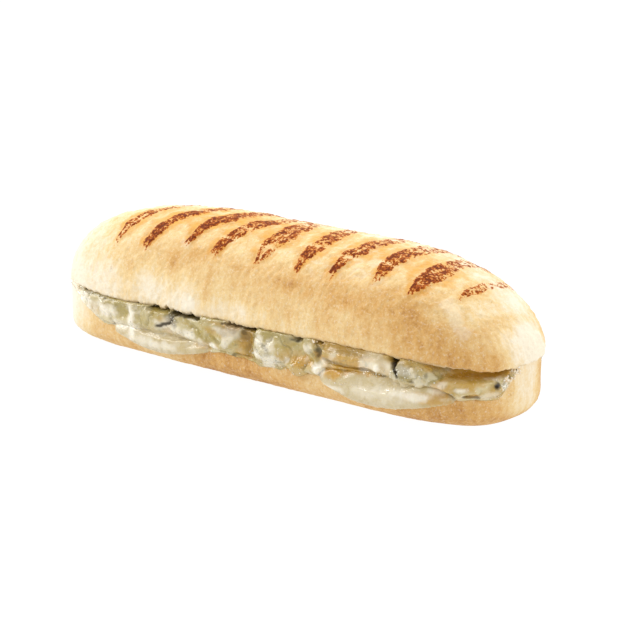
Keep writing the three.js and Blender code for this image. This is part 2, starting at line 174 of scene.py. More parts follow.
def readVectors(piece, kind):
    flat = np.empty(len(piece.data.vertices) * 3)
    piece.data.vertices.foreach_get(kind, flat)
    return flat.reshape(-1, 3)


def readPoints(piece):
    return readVectors(piece, "co") / mm


def writePoints(piece, points):
    piece.data.vertices.foreach_set("co", (points * mm).ravel())
    piece.data.update()


# the roll's outline, its cut and its two halves follow the same shapes as the solids

roll = {
    "length": 240, "width": 70, "cutHeight": 24.8, "crownHeight": 35.1,
    "planLeft": 5.85, "planRight": 7.17, "planAcross": 2.3,
    "crownLeft": 4.1, "crownRight": 3.5, "crownRoot": 1.85, "crownTilt": -0.04, "crownBow": 0.07,
    "sectionAcross": 2.6, "sectionUp": 2.1, "sectionSteps": 3001, "edgeRound": 1.1,
    # each wave of the cut has its place, width and rise
    "cutWaves": [(-120, 9, -1.8), (-72, 24, -1.4), (62, 32, 1.35), (112, 9, -1.1), (120, 5, -1.4)],
    "outlineSteps": 6001, "rimStations": 1400, "pointsAtOnce": 4000, "closedGap": (3, 1.4),
}

tray = {
    "length": 237.6, "width": 69.6, "height": 12.8,
    "curveHeight": 9.2, "insetSides": 10.7, "insetLeft": 3.5, "insetRight": 6,
    "leftRise": 10.4, "leftFront": (-74, -105), "leftBack": (-78, -108),
    "rightRise": 11.5, "rightAlong": (104, 116), "rightAcross": (-13, 1),
    "nestInset": 5, "nestBelow": 2.4,
    "spineAlong": 0.8, "spineAcross": 0.06, "spineBelow": 3.5, "gapToTop": 0.35,
}


def fullness(x, length, left, right):
    power = np.where(x < 0, left, right)
    return np.maximum(0, 1 - np.abs(2 * x / length) ** power)


def outlineHalfWidth(x, length, width):
    return width / 2 * fullness(x, length, roll["planLeft"], roll["planRight"]) ** (1 / roll["planAcross"])


def cutLevel(x):
    return roll["cutHeight"] + sum(rise * hump(x, at, width) for at, width, rise in roll["cutWaves"])


def trayLevel(x, y):
    left = tray["leftRise"] * np.where(y < 0, ease(x, *tray["leftFront"]), ease(x, *tray["leftBack"]))
    right = tray["rightRise"] * ease(x, *tray["rightAlong"]) * ease(y, *tray["rightAcross"])
    return np.minimum(tray["height"] + left + right, cutLevel(x) - tray["gapToTop"])


def crownRise(x):
    part = 2 * x / roll["length"]
    sway = 1 + roll["crownTilt"] * part + roll["crownBow"] * part ** 2
    shape = fullness(x, roll["length"], roll["crownLeft"], roll["crownRight"])
    return roll["crownHeight"] * sway * shape ** (1 / roll["crownRoot"])


def outlineRun(length, width):
    # fine places along the roll, and how far each is round the outline from the left tip
    turn = np.linspace(0, np.pi, roll["outlineSteps"])
    x = -length / 2 * np.cos(turn)
    y = outlineHalfWidth(x, length, width)
    run = np.concatenate([[0], np.cumsum(np.hypot(np.diff(x), np.diff(y)))])
    return x, y, run


def evenStations(length, width, count):
    x, _, run = outlineRun(length, width)
    return np.interp(np.linspace(0, run[-1], count + 2)[1:-1], run, x)


def rimPath(around):
    # points evenly far apart round the tray's outline: the front from left to right, then the back
    x, y, run = outlineRun(tray["length"], tray["width"])
    spots = np.linspace(0, run[-1], around // 2 + 1)
    halfX, halfY = np.interp(spots, run, x), np.interp(spots, run, y)
    return np.concatenate([halfX, halfX[-2:0:-1]]), np.concatenate([-halfY, halfY[-2:0:-1]])


def outward(x, y):
    # the direction straight out of the tray's outline, seen from above
    power = np.where(x < 0, roll["planLeft"], roll["planRight"])
    halfLength, halfWidth, across = tray["length"] / 2, tray["width"] / 2, roll["planAcross"]
    u = power * np.sign(x) * np.abs(x / halfLength) ** (power - 1) / halfLength
    v = across * np.sign(y) * np.abs(y / halfWidth) ** (across - 1) / halfWidth
    size = np.hypot(u, v) + 1e-12
    return u / size, v / size


def nestLevel(x, y):
    outX, _ = outward(x, y)
    return np.minimum(trayLevel(x, y), cutLevel(x - outX * tray["nestInset"]) - tray["nestBelow"])


def spineLevel(x, y):
    between = (nestLevel(x, y) + nestLevel(x, -y)) / 2
    return np.minimum(between, cutLevel(tray["spineAlong"] * x) - tray["spineBelow"])


def spineRow(x, y, z):
    return np.stack([tray["spineAlong"] * x, tray["spineAcross"] * y, np.broadcast_to(z, x.shape)], axis=1)


def onTrayFace(x, y, inset):
    # the tray's cut face at a distance in from its rim: it dips a little, then runs to the middle
    outX, outY = outward(x, y)
    level, low = trayLevel(x, y), nestLevel(x, y)
    near = np.minimum(inset, tray["nestInset"])
    dip = np.clip(inset / tray["nestInset"], 0, 1)
    edge = np.stack([x - outX * near, y - outY * near, level + (low - level) * dip], axis=1)
    middle = spineRow(x, y, spineLevel(x, y))
    inner = np.stack([x - outX * tray["nestInset"], y - outY * tray["nestInset"], low], axis=1)
    run = np.linalg.norm(middle - inner, axis=1)
    beyond = np.maximum(0, inset - tray["nestInset"]) / run
    return edge + (middle - edge) * beyond[:, None]


def rimRun(points):
    # how far points are along the rim from the roll's middle, their side, and how far out of the rim
    # the side is -1 in front and 1 behind
    x, y, run = outlineRun(tray["length"], tray["width"])
    spots = np.linspace(0, run[-1], roll["rimStations"])
    rimX, rimY = np.interp(spots, run, x), np.interp(spots, run, y)
    runs, distance = np.empty(len(points)), np.empty(len(points))
    for start in range(0, len(points), roll["pointsAtOnce"]):
        these = slice(start, start + roll["pointsAtOnce"])
        part = points[these]
        away = (part[:, :1] - rimX) ** 2 + (np.abs(part[:, 1:2]) - rimY) ** 2
        nearest = np.argmin(away, axis=1)
        runs[these] = spots[nearest]
        distance[these] = np.sqrt(away[np.arange(len(part)), nearest])
    inside = np.abs(points[:, 1]) < outlineHalfWidth(points[:, 0], tray["length"], tray["width"])
    side = np.where(points[:, 1] < 0, -1, 1)
    return runs - np.interp(0, x, run), side, np.where(inside, -distance, distance)


def smoothMax(first, second, blend):
    return (first + second + np.sqrt((first - second) ** 2 + blend ** 2)) / 2


strokeEdge = (1.5, 0.4)  # where a drawn line starts and where it is full, in parts of its width


def strokeStrength(u, v, width, path):
    # how near points are to a drawn line: 1 on it, and 0 a little over its width away
    nearest = np.full(len(u), 1e9)
    for (u0, v0), (u1, v1) in zip(path, path[1:]):
        alongU, alongV = u1 - u0, v1 - v0
        part = np.clip(((u - u0) * alongU + (v - v0) * alongV) / (alongU ** 2 + alongV ** 2), 0, 1)
        nearest = np.minimum(nearest, np.hypot(u - u0 - part * alongU, v - v0 - part * alongV))
    return ease(nearest, width * strokeEdge[0], width * strokeEdge[1])


# grill marks: each runs across the crown through the places given for four distances across the roll

marks = {
    "across": (-27, -13, 2, 26),
    # places along the roll, front end, width, darkness, paleness of the middle, and where it breaks off
    "rows": [
        ((-74.5, -71, -69, -66), -28.5, 4.6, 0.85, 0.75, ()),
        ((-56, -50, -43, -38), -29.5, 4.8, 1, 0.25, (-3,)),
        ((-33.5, -29.5, -23.5, -17), -26.5, 5.3, 1.05, 0.2, ()),
        ((-16, -10, -6, -2), -29.5, 4.8, 0.95, 0.3, (-20.5, -13.5)),
        ((8, 10, 7, 6), -29.5, 5.2, 0.92, 0.6, (-21.5,)),
        ((29, 31, 27, 25), -28, 4.7, 0.92, 0.3, (-15.5,)),
        ((46, 51, 51, 53), -28.2, 4.4, 0.95, 0.45, (-19,)),
        ((69, 67.5, 67, 71), -26.2, 4.3, 0.9, 0.35, (-16.5,)),
        ((84, 85, 84, 85), -24.6, 4.4, 0.95, 0.4, ()),
        ((101, 99.5, 99, 98), -16.5, 2.0, 0.5, 0.2, ()),
    ],
    "depth": 0.75, "edge": 1.25, "paleWidth": 0.42, "breakLength": 1.3, "breakDepth": 0.8,
    "tipEase": (-1.5, 6), "tipStrength": 1.6, "taper": (-2, 13), "tipWidth": 0.28,
    "addedWidth": 0.75, "leastWidth": 0.01, "backEase": (28, 19),
    "paleTop": (0.55, (-9, 5), (24, 14)),
    "wander": (0.8, 8, 40, 1), "tipRagged": (1.6, 3, 60, 1), "backRagged": (2, 4, 80, 1),
    "widthNoise": (0.3, 4, 90, 1),
}


def markStrength(points, spread=1):
    # how far inside a grill mark each point is: 0 at its edge and outside, 1 in its middle
    x, y = points[:, 0], points[:, 1]
    flat = flattened(points)
    strength = np.zeros(len(points))
    for i, (path, front, wide, darkness, paleness, breaks) in enumerate(marks["rows"]):
        middle = np.interp(y, marks["across"], path) + rough(flat, marks["wander"], i)
        raggedY = y + rough(flat, marks["tipRagged"], i)
        tip = ease(raggedY, *(front + away for away in marks["tipEase"]))
        back = ease(y + rough(flat, marks["backRagged"], i), *marks["backEase"])
        back *= 1 - patch(marks["paleTop"], y, y)
        taper = ease(y, *(front + away for away in marks["taper"]))
        width = wide * (marks["tipWidth"] + marks["addedWidth"] * taper)
        width = width * (1 + rough(flat, marks["widthNoise"], i)) * spread + marks["leastWidth"]
        part = np.abs(x - middle) / width
        inside = np.clip(marks["edge"] * (1 - part ** 3), 0, 1)
        inside = inside * np.minimum(1, marks["tipStrength"] * tip) * back
        inside *= 1 - paleness * hump(part, 0, marks["paleWidth"])
        for place in breaks:
            inside *= 1 - marks["breakDepth"] * hump(y, place, marks["breakLength"])
        strength = np.maximum(strength, inside * darkness)
    return strength


# top half

crown = {
    "stations": 470, "steps": 172, "faceSteps": 18, "faceSpread": 0.6,
    "edgeFade": 12, "edgePower": 8, "closedEdge": 0.75, "faceInset": 0.5,
    # where across the crown the grill marks take a painted glare on the far side
    "pressed": (42, 50), "halo": 0.3, "haloSpread": 2.1, "farGlare": (-6, 12),
    "swell": (0.45, 24, 1, 2), "crumbs": (0.26, 1.7, 5, 2), "pores": 0.3, "poreSeed": 29,
    "flutes": (0.34, (46, 30), (25, 30)), "fluteLength": 0.12, "fluteNoise": (1, 5, 3, 1),
    "wrinkles": 0.45, "wrinkleNoise": (1, 6, 11, 2),
    # the torn lower edge: how far up it reaches, its depth, and where along the roll it is most torn
    "tornUp": (2.4, 0), "tornDepth": 0.95, "tornLeast": 0.4, "tornMost": 1.6, "tornAt": -26, "tornWidth": 22,
    "tornDown": 0.4, "tornNoise": (1, 1.7, 21, 3),
    "netNoise": (1, 6.5, 17, 2), "netWidth": 0.14, "netHeight": 0.22, "netPaleness": 0.3, "foldPaleness": 0.4,
    "netAlong": (1, (30, 38), (76, 68)), "netAcross": (1, (-30, -25), (-6, -11)),
    # folds pressed into the crust on the front, the deeper ones painted paler as a painted highlight: depth,
    # width, and where they run along the roll and up
    "folds": [
        (0.4, 1.3, [(97, 46.4), (102, 43), (105.5, 39.5), (108.5, 36)]),
        (0.4, 1.0, [(-36, 51.8), (-32, 50.6)]),
        (0.2, 1.6, [(-8, 46.6), (24, 46.2), (52, 47.6), (74, 48), (93, 46.6)]),
    ],
    "nudgedAlong": (0.8, 4, 33, 1), "nudgedUp": (0.5, 3, 34, 1), "foldSpan": (0.2, 0.5),
}


def closedAt(x, y):
    # where the two halves meet, at the left end and behind the right tip
    return ease(cutLevel(x) - trayLevel(x, y), *roll["closedGap"])


def crownGrid():
    stations = evenStations(roll["length"], roll["width"], crown["stations"])
    turn = np.linspace(0, np.pi, roll["sectionSteps"])
    across = -np.sign(np.cos(turn)) * np.abs(np.cos(turn)) ** (2 / roll["sectionAcross"])
    up = np.abs(np.sin(turn)) ** (2 / roll["sectionUp"])
    run = np.concatenate([[0], np.cumsum(np.hypot(np.diff(across), np.diff(up)))])
    spots = np.linspace(0, run[-1], crown["steps"])
    across, up = np.interp(spots, run, across), np.interp(spots, run, up)
    x = stations[:, None]
    halfWidth = outlineHalfWidth(x, roll["length"], roll["width"])
    edge = roll["edgeRound"] * np.minimum(1, halfWidth / crown["edgeFade"]) * across ** crown["edgePower"]
    edge = edge * (1 - crown["closedEdge"] * closedAt(x, across))
    y = halfWidth * across
    z = cutLevel(x) + crownRise(x) * up + edge
    inset = 1 - np.minimum(crown["faceInset"], roll["edgeRound"] / halfWidth)
    faceAcross = np.linspace(1, -1, crown["faceSteps"])
    faceAcross = np.sign(faceAcross) * np.abs(faceAcross) ** crown["faceSpread"]
    faceY = halfWidth * inset * faceAcross
    faceZ = np.broadcast_to(cutLevel(x), faceY.shape)
    return np.stack([
        np.broadcast_to(x, (len(stations), crown["steps"] + crown["faceSteps"])),
        np.concatenate([y, faceY], axis=1),
        np.concatenate([z, faceZ], axis=1),
    ], axis=2)


pore = {"size": 1.9, "span": (0.45, 0.9)}


def poreDepth(points, seed):
    # small pits in the crust: -1 in the middle of one, 0 outside
    return -ease(softNoise(points, pore["size"], seed), *pore["span"])


def netRidges(points):
    # a net of fine pale ridges between the grill marks at the right
    x, y = points[:, 0], points[:, 1]
    within = patch(crown["netAlong"], x, x) * patch(crown["netAcross"], y, y)
    return within * hump(rough(points, crown["netNoise"]), 0, crown["netWidth"])


def makeBreadTop():
    grid = crownGrid()
    shape = grid.shape
    normals = gridNormals(grid).reshape(-1, 3)
    points = grid.reshape(-1, 3).copy()
    x, y, z = points.T
    onCrown = np.tile(np.arange(shape[1]) < crown["steps"], shape[0])
    pressed = ease(z, *crown["pressed"])
    char = markStrength(points) * pressed ** 0.5 * onCrown
    flutes = rough(flattened(points, crown["fluteLength"]), crown["fluteNoise"])
    wrinkles = -np.abs(rough(points, crown["wrinkleNoise"])) * pressed * (1 - char)
    pores = poreDepth(points, crown["poreSeed"]) * (1 - char)
    net = netRidges(points) * (1 - np.minimum(1, 2 * char))
    relief = (
        rough(points, crown["swell"])
        + patch(crown["flutes"], z, z) * flutes
        + rough(points, crown["crumbs"])
        + crown["pores"] * pores
        + crown["wrinkles"] * wrinkles
        + crown["netHeight"] * net
        - marks["depth"] * np.minimum(char, 1)
    )
    creased = np.zeros(len(points))
    nudgedX, nudgedZ = x + rough(points, crown["nudgedAlong"]), z + rough(points, crown["nudgedUp"])
    for depth, width, path in crown["folds"]:
        stroke = strokeStrength(nudgedX, nudgedZ, width, path) * (y < 0)
        relief -= depth * stroke
        creased = np.maximum(creased, stroke * ease(depth, *crown["foldSpan"]))
    column = np.tile(np.arange(shape[1]), shape[0])
    faceEdge = (column == crown["steps"]) | (column == shape[1] - 1)
    ragged = ease(z - cutLevel(x), *crown["tornUp"]) * (onCrown | faceEdge)
    points += normals * (relief * onCrown)[:, None]
    torn = rough(flattened(points), crown["tornNoise"])
    place = hump(x, crown["tornAt"], crown["tornWidth"])
    most = crown["tornDepth"] * (crown["tornLeast"] + crown["tornMost"] * place)
    points[:, 2] += most * (torn + crown["tornDown"] * np.abs(torn)) * ragged
    half = roll["length"] / 2
    tips = np.array([[-half, 0, cutLevel(-half)], [half, 0, cutLevel(half)]])
    points = np.concatenate([points, tips])
    points[:, 1] += middleY
    piece = meshFrom("breadTop", points, ringFaces(*shape[:2]) + tipFaces(*shape[:2]))
    # paler on the fine net, the crust's own, and along the folds, a painted highlight
    pale = np.maximum(crown["netPaleness"] * net, crown["foldPaleness"] * creased) * onCrown
    halo = np.append(markStrength(grid.reshape(-1, 3), crown["haloSpread"]) * pressed, [0, 0])
    setValues(piece, "toast", toastOnTop(points) + crown["halo"] * halo)
    setValues(piece, "halo", halo)
    setValues(piece, "char", np.append(char, [0, 0]))
    # painted glare: where the grill marks fade paler on the far side of the crown
    setValues(piece, "farGlare", ease(points[:, 1], *crown["farGlare"]))
    setValues(piece, "pale", np.append(pale, [0, 0]))
    setValues(piece, "crumbFace", np.append(1.0 - onCrown, [0, 0]))
    return piece


# how far each part of the crust is baked, from 0, floury, to 1, brown, at four heights
toasted = {
    # near floury at the left end, partly as a painted highlight where light washes the end out
    "along": [-120, -100, -80, -45, -20, 5, 35, 60, 85, 100, 112, 120],
    "low": [-0.1, -0.05, 0.1, 0.2, 0.24, 0.34, 0.4, 0.48, 0.55, 0.7, 0.82, 0.55],
    "middle": [-0.1, 0.0, 0.12, 0.3, 0.34, 0.48, 0.5, 0.52, 0.64, 0.78, 0.6, 0.2],
    "upper": [-0.1, 0.02, 0.3, 0.54, 0.48, 0.56, 0.58, 0.62, 0.7, 0.42, 0.12, 0.02],
    "top": [-0.1, 0.12, 0.36, 0.42, 0.42, 0.42, 0.42, 0.42, 0.34, 0.12, 0.0, 0.0],
    "lowToMiddle": (28, 36), "middleToUpper": (36, 45), "upperToTop": (47, 54),
    # less baked on the ridge and behind the right tip, and more at the back: how much, and where it eases in
    "ridge": (0.3, (-2, 10), (28, 18)),
    "tip": (0.5, (112, 119), (-16, -2)),
    "back": (0.5, (8, 24), (40, -60)),
    # blushes: place along the roll, height, half sizes, and how much more or less baked
    "blushes": [(-36, 44, 3, 6, 0.16), (-26, 49, 7, 3, 0.16), (-14, 38, 2.4, 8, 0.22), (-46, 33, 8, 5, -0.2),
                (-24, 30, 8, 4, -0.25), (6, 31, 10, 4, -0.2), (-62, 36, 5, 8, 0.15), (40, 33, 4, 6, -0.15),
                (28, 45, 10, 2.5, 0.2), (60, 43, 12, 3, 0.15), (88, 40, 8, 5, 0.12), (-90, 40, 8, 5, 0.15)],
}


def toastOnTop(points):
    x, y, z = points.T
    rows = [np.interp(x, toasted["along"], toasted[row]) for row in ("low", "middle", "upper", "top")]
    low, middle, upper, top = rows
    toast = low + (middle - low) * ease(z, *toasted["lowToMiddle"])
    toast += (upper - middle) * ease(z, *toasted["middleToUpper"])
    toast -= patch(toasted["tip"], x, y)
    for place, height, halfLong, halfTall, change in toasted["blushes"]:
        toast += change * hump(x, place, halfLong) * hump(z, height, halfTall)
    toast += (top - upper) * ease(z, *toasted["upperToTop"])
    return toast + patch(toasted["back"], y, x) - patch(toasted["ridge"], y, y)


# bottom half

trayMesh = {
    "around": 1200, "underSteps": 18, "wallSteps": 34, "wallSpread": 1.4, "edgeTurns": (30, 60),
    "faceInsets": [1.1, 1.7, 2.6, 3.7, 5], "faceParts": [0.12, 0.3, 0.6, 1],
    "swell": (0.3, 20, 31, 2), "crumbs": (0.13, 1.8, 35, 2), "pores": 0.22, "poreSeed": 37,
    "mostRelief": 0.3, "roughRim": (0.45, 2.2, 39, 3), "markDepth": 0.35,
    "overlap": 0.4, "closedEdge": 0.7, "rimRows": (1, (-6, -1), (4, 1)),
    # paler at the rim near the right tip, and at the left end, where the paleness is partly a painted
    # highlight
    "paleRim": (0.5, (100, 112), (-16, -8)), "paleLeftEnd": (0.6, (-84, -98), (8, 15), (0, -8)),
}


def trayRows():
    x, y = rimPath(trayMesh["around"])
    outX, outY = outward(x, y)
    closing = (cutLevel(x) - trayLevel(x, y) + trayMesh["overlap"]) * closedAt(x, y)
    level = trayLevel(x, y) + closing
    radius = roll["edgeRound"] * (1 - trayMesh["closedEdge"] * closedAt(x, y))
    atEnd = np.where(x < 0, tray["insetLeft"], tray["insetRight"])
    wallInset = tray["insetSides"] * outY ** 2 + atEnd * outX ** 2

    def row(inset, z):
        return np.stack([x - outX * inset, y - outY * inset, np.broadcast_to(z, x.shape)], axis=1)

    foot, spine = row(wallInset, 0), spineRow(x, y, 0)
    rows = [spine + (foot - spine) * part for part in np.linspace(0, 1, trayMesh["underSteps"] + 1)[:-1]]
    for part in np.linspace(0, 1, trayMesh["wallSteps"]) ** trayMesh["wallSpread"]:
        z = part * (level - radius)
        rows.append(row(wallInset * np.maximum(0, 1 - z / tray["curveHeight"]) ** 3, z))
    for turn in np.radians(trayMesh["edgeTurns"]):
        rows.append(row(radius * (1 - np.cos(turn)), level - radius * (1 - np.sin(turn))))
    rows += [onTrayFace(x, y, np.full_like(x, inset)) for inset in trayMesh["faceInsets"]]
    for faceRow in rows[-len(trayMesh["faceInsets"]):]:
        faceRow[:, 2] += closing
    nest, middle = rows[-1], spineRow(x, y, spineLevel(x, y))
    rows += [nest + (middle - nest) * part for part in trayMesh["faceParts"]]
    return np.stack(rows)


def makeBreadBottom():
    grid = trayRows()
    rowCount, around = grid.shape[:2]
    row = np.repeat(np.arange(rowCount), around)
    wallStart = trayMesh["underSteps"]
    faceStart = wallStart + trayMesh["wallSteps"] + len(trayMesh["edgeTurns"])
    points = grid.reshape(-1, 3).copy()
    isUnder = row < wallStart
    isFace = row >= faceStart
    outside = ease(points[:, 2], 0, 2) * (row >= wallStart)
    relief = (
        rough(points, trayMesh["swell"])
        + rough(points, trayMesh["crumbs"])
        + trayMesh["pores"] * poreDepth(points, trayMesh["poreSeed"])
    )
    relief = np.minimum(relief, trayMesh["mostRelief"])
    char = markStrength(flattened(points)) * np.where(isUnder, 1, ease(points[:, 2], 2, 0.2))
    rim = patch(trayMesh["rimRows"], row - faceStart, row - faceStart)
    normals = gridNormals(grid).reshape(-1, 3)
    points += normals * (relief * outside)[:, None]
    points[:, 2] += rough(flattened(points), trayMesh["roughRim"]) * rim
    points[:, 2] += trayMesh["markDepth"] * np.minimum(char, 1) * isUnder
    points[:, 1] += middleY
    faces = ringFaces(rowCount, around)
    faces += zipFaces(0, around, False) + zipFaces((rowCount - 1) * around, around, True)
    piece = meshFrom("breadBottom", points, faces)
    setValues(piece, "toast", toastOnTray(points))
    setValues(piece, "char", char)
    setValues(piece, "farGlare", np.zeros(len(points)))
    setValues(piece, "halo", np.zeros(len(points)))
    x, y, z = points.T
    paleRim = rim * patch(trayMesh["paleRim"], x, y)
    setValues(piece, "pale", np.maximum(paleRim, patch(trayMesh["paleLeftEnd"], x, z, y)))
    setValues(piece, "crumbFace", isFace)
    return piece


trayToast = {
    # near floury at the left end, partly as a painted highlight where light washes the end out
    "along": [-120, -104, -90, -76, -64, -40, -16, 10, 40, 70, 95, 108, 116, 120],
    "amount": [0.0, 0.04, 0.34, 0.56, 0.56, 0.4, 0.82, 0.74, 0.56, 0.58, 0.74, 0.8, 0.74, 0.3],
    "low": (0.14, (8, 1), (112, 90)), "under": (0.15, (0.6, 0)), "paleTip": (0.35, (113, 119), (-10, 4)),
}


def toastOnTray(points):
    x, y, z = points.T
    toast = np.interp(x, trayToast["along"], trayToast["amount"])
    toast += patch(trayToast["low"], z, np.abs(x))
    toast -= patch(trayToast["paleTip"], x, y)
    return toast + patch(toasted["back"], y, x) + patch(trayToast["under"], z)


# coloured zones of the filling, partly its own tints and partly painted light, painted shade in its gaps, in
# the right end's hollow and just under the top half, and painted highlights on shiny lumps: run along the rim
# from the roll's middle, height, half sizes, amount

zones = {
    # white zones: partly the cheese's own white, and partly painted highlights on shiny lumps and beads
    "milky": [
        (-99, 18.5, 17, 8, 0.95), (-74, 18.4, 8, 3.4, 0.8), (-56, 17.6, 3.4, 8, 1), (-66, 14, 7, 2.4, 0.6),
        (-44, 9.4, 14, 2.2, 0.7), (-23, 16.6, 4.5, 2.2, 0.8), (-9, 14.4, 2.2, 1.3, 1),
        (-16, 14, 3, 2, 0.6), (17.5, 21.3, 3.4, 2.6, 0.65), (23, 19.6, 3.6, 3.6, 0.6),
        (16.2, 15.8, 3, 2, 0.9), (25, 14.6, 4.5, 2.2, 0.7), (42.6, 22.4, 2.8, 2.2, 0.6),
        (48.6, 14.8, 2.6, 3, 1), (56, 9.4, 8, 1.3, 0.6), (78, 11.4, 14, 3, 0.4), (77.8, 21.3, 2, 1.9, 1),
        (92, 12.8, 9, 2, 0.8), (90.5, 22.4, 4.2, 2, 0.5), (111, 16.5, 2.6, 0.9, 0.8),
        (102, 15.2, 3, 1.8, 0.5), (129, 16.2, 1.7, 1.5, 1), (96, 18.4, 4, 2, 0.4),
        (121, 13.6, 5, 1.3, 0.4),
    ],
    # olive zones high under the top half and in the gaps are painted shade, the rest the cheese's own tint
    "olive": [
        (-93, 23.3, 3, 1.2, 0.7), (-72, 23.4, 9, 1.3, 0.8), (-62.6, 20, 4.6, 3.8, 0.9),
        (-46, 19.8, 8, 4, 0.6), (-36, 21.5, 5, 3.4, 0.75), (-31, 23.6, 3, 1.6, 0.9),
        (-14.5, 19, 8, 3.6, 0.85), (1, 20.6, 8, 4, 0.9), (-2, 14.4, 5, 2.4, 0.5), (11, 17.5, 4, 6.5, 0.95),
        (20, 24, 9, 1.2, 0.5), (29.5, 20.6, 3, 3, 0.5), (37, 21.6, 3.4, 3, 0.7), (49, 21.8, 3, 3, 0.7),
        (87, 22, 2.4, 4, 0.5), (94, 20.4, 6, 3, 0.35), (108, 23, 7, 1.8, 0.6), (99, 20.4, 4, 3, 0.3),
        (-80, 23.6, 4, 1, 0.6), (118, 19.4, 4, 1.6, 0.5),
    ],
    # golden zones high under the top half and at the right end are painted shade, the rest the cheese's own
    # tint
    "golden": [
        (-35, 16.4, 3.2, 2, 0.7), (-8.5, 20.6, 3.2, 2.2, 0.5), (1, 23.4, 5, 1.7, 0.95),
        (8.6, 20, 4.5, 6, 0.9), (-14, 13.6, 5, 2, 0.5), (8, 13.6, 5, 2.4, 0.7), (31.5, 17, 4, 4, 0.5),
        (40, 16.6, 7, 3.4, 1), (34, 12, 6, 2.4, 0.6), (49.5, 20.4, 4, 2.4, 0.9), (54, 17.6, 6, 1.7, 0.6),
        (67, 18.6, 15, 1.9, 1), (64, 21, 12, 3.2, 0.8), (73, 19.8, 6, 1.8, 1), (62, 23.6, 14, 1.6, 0.75),
        (82, 23.6, 4, 1.4, 0.4), (112, 18.4, 8, 3, 0.6), (56.5, 15.6, 7, 2.4, 1), (-36, 19.4, 4, 3, 0.4),
        (104, 13.6, 4, 1.6, 0.8), (70, 23.6, 8, 1.6, 0.8), (120, 22.4, 10, 3, 1), (125, 14.4, 8, 3, 0.5),
        (103, 11.6, 6, 1.8, 0.8), (0, 21.6, 6, 2.6, 0.7), (-35, 20, 5, 2.6, 0.5), (102, 24, 8, 1.3, 0.7),
        (114, 22.6, 10, 2.4, 1), (128, 21.4, 8, 2.2, 0.95), (104.5, 17.4, 4, 2.6, 0.9),
        (115, 14, 3.8, 1, 0.95), (117, 18.4, 4, 1.4, 0.5), (97, 13.4, 5, 1.4, 0.4), (-3, 24, 8, 0.8, 0.5),
    ],
    # dark zones are mostly painted shade in gaps, under the top half and beside lumps, with a few dark spots
    # of the cheese's own
    "dark": [
        (-74.5, 23.4, 0.8, 0.6, 0.8), (-31.5, 22.4, 1.4, 1.2, 0.6), (-32, 20.6, 2.6, 2.4, 0.45),
        (89, 22, 4.4, 3.2, 0.35), (1, 22.8, 6, 2, 0.35), (9, 21.6, 6, 3, 0.5), (-32, 21.6, 3.6, 3, 0.7),
        (-2, 20.6, 4, 1.6, 0.3), (106, 23.6, 7, 1.6, 0.35), (62, 24.2, 12, 1, 0.3), (11, 17.4, 3, 4, 0.3),
        (7.2, 22.4, 2.2, 1.3, 0.75), (9.5, 24.2, 5, 0.8, 0.8), (2, 12.2, 1.2, 0.6, 0.6),
        (47.8, 23, 1.5, 2, 0.8), (36.6, 24.2, 1.6, 0.7, 0.9), (93.4, 18.4, 1.3, 0.8, 0.55),
        (99.2, 21.6, 0.9, 1.2, 0.5), (125.6, 17.3, 1.6, 1.4, 1), (132, 19.6, 0.5, 1.1, 0.6),
        (4, 17, 0.8, 0.6, 0.4),
    ],
}

# dark veins of the filling, and creases and slits of it painted dark as shade: amount, width, and their run
# along the rim and height
veins = [
    (0.4, 0.5, [(-95, 23.6), (-88, 23.9), (-80, 23.8), (-68.4, 23.6)]),
    (0.85, 0.7, [(-46, 24.4), (-41, 24.6), (-35.5, 24.6)]),
    (0.9, 0.8, [(-33, 24.2), (-26, 23.9), (-17.8, 24)]),
    (0.9, 0.8, [(-30, 24), (-33.4, 20.4), (-36, 18.8), (-40, 17.6)]),
    (0.75, 0.6, [(-4, 24.5), (4, 24.3), (13.9, 24.3)]),
    (0.45, 0.5, [(19.3, 19.9), (23.1, 18.4)]),
    (0.4, 0.6, [(13.4, 22), (12.4, 18), (14, 14)]),
    (0.7, 0.5, [(34, 24.5), (38, 24.4)]),
    (0.7, 0.8, [(47, 24.6), (49, 22.6), (47.6, 20)]),
    (0.4, 0.7, [(50, 19.8), (62, 19.6), (72, 19), (80, 18.2)]),
    (1.0, 0.9, [(84, 25.4), (85, 22.8), (87.4, 20)]),
    (0.6, 0.6, [(112.6, 14), (118, 13.3)]),
]

# swellings and hollows of the melted cheese: run along the rim, height, half sizes, rise
meltForms = [
    (-88, 20.4, 9, 4, 0.7), (-72, 20.2, 7, 3.4, 0.7), (-62.6, 20.2, 3.8, 3, -1.1),
    (-55, 16.5, 2.6, 7, 1.0), (-44, 18, 7, 5, 0.8), (-33, 21, 2.2, 3.4, -1.4), (-35.5, 16.4, 3, 1.6, -1.0),
    (-24, 17, 6, 3.4, 0.8), (-13, 19, 6, 4, 0.6), (-8, 22.2, 1.8, 1.4, 0.9), (11, 18, 2.8, 5, -0.9),
    (33, 18, 3, 5, -0.5), (41, 17.2, 5, 2.6, -0.9), (49.5, 20.6, 2.6, 3, -1.2), (62, 22.8, 13, 1.8, 0.9),
    (66, 19, 15, 0.9, -1.0), (85.6, 22.6, 1.1, 3.4, -2.0), (112, 16.4, 10, 3.4, 0.7),
    (127, 17, 9, 4.4, -1.2), (66, 18.9, 17, 0.8, -1.2), (77, 21.2, 3, 2.6, 0.7), (3, 23, 7, 1.6, -0.6),
    (115, 14, 3.4, 0.9, -1.2),
]

# where the top half stands clear of the cheese, so that a dark gap shows
gaps = [(-93, -87), (-46.5, -34), (-33, -17), (-2, 14), (34, 38.5), (46.6, 50), (83, 87)]


backForms = {"moved": 7, "turned": -0.93}  # the back has the front's forms, turned round and moved along
zoneEdge = (1.4, 0.35)  # where a zone starts and where it is full, in parts of its half sizes


def sidePlace(side, place):
    return place if side < 0 else backForms["moved"] + backForms["turned"] * place


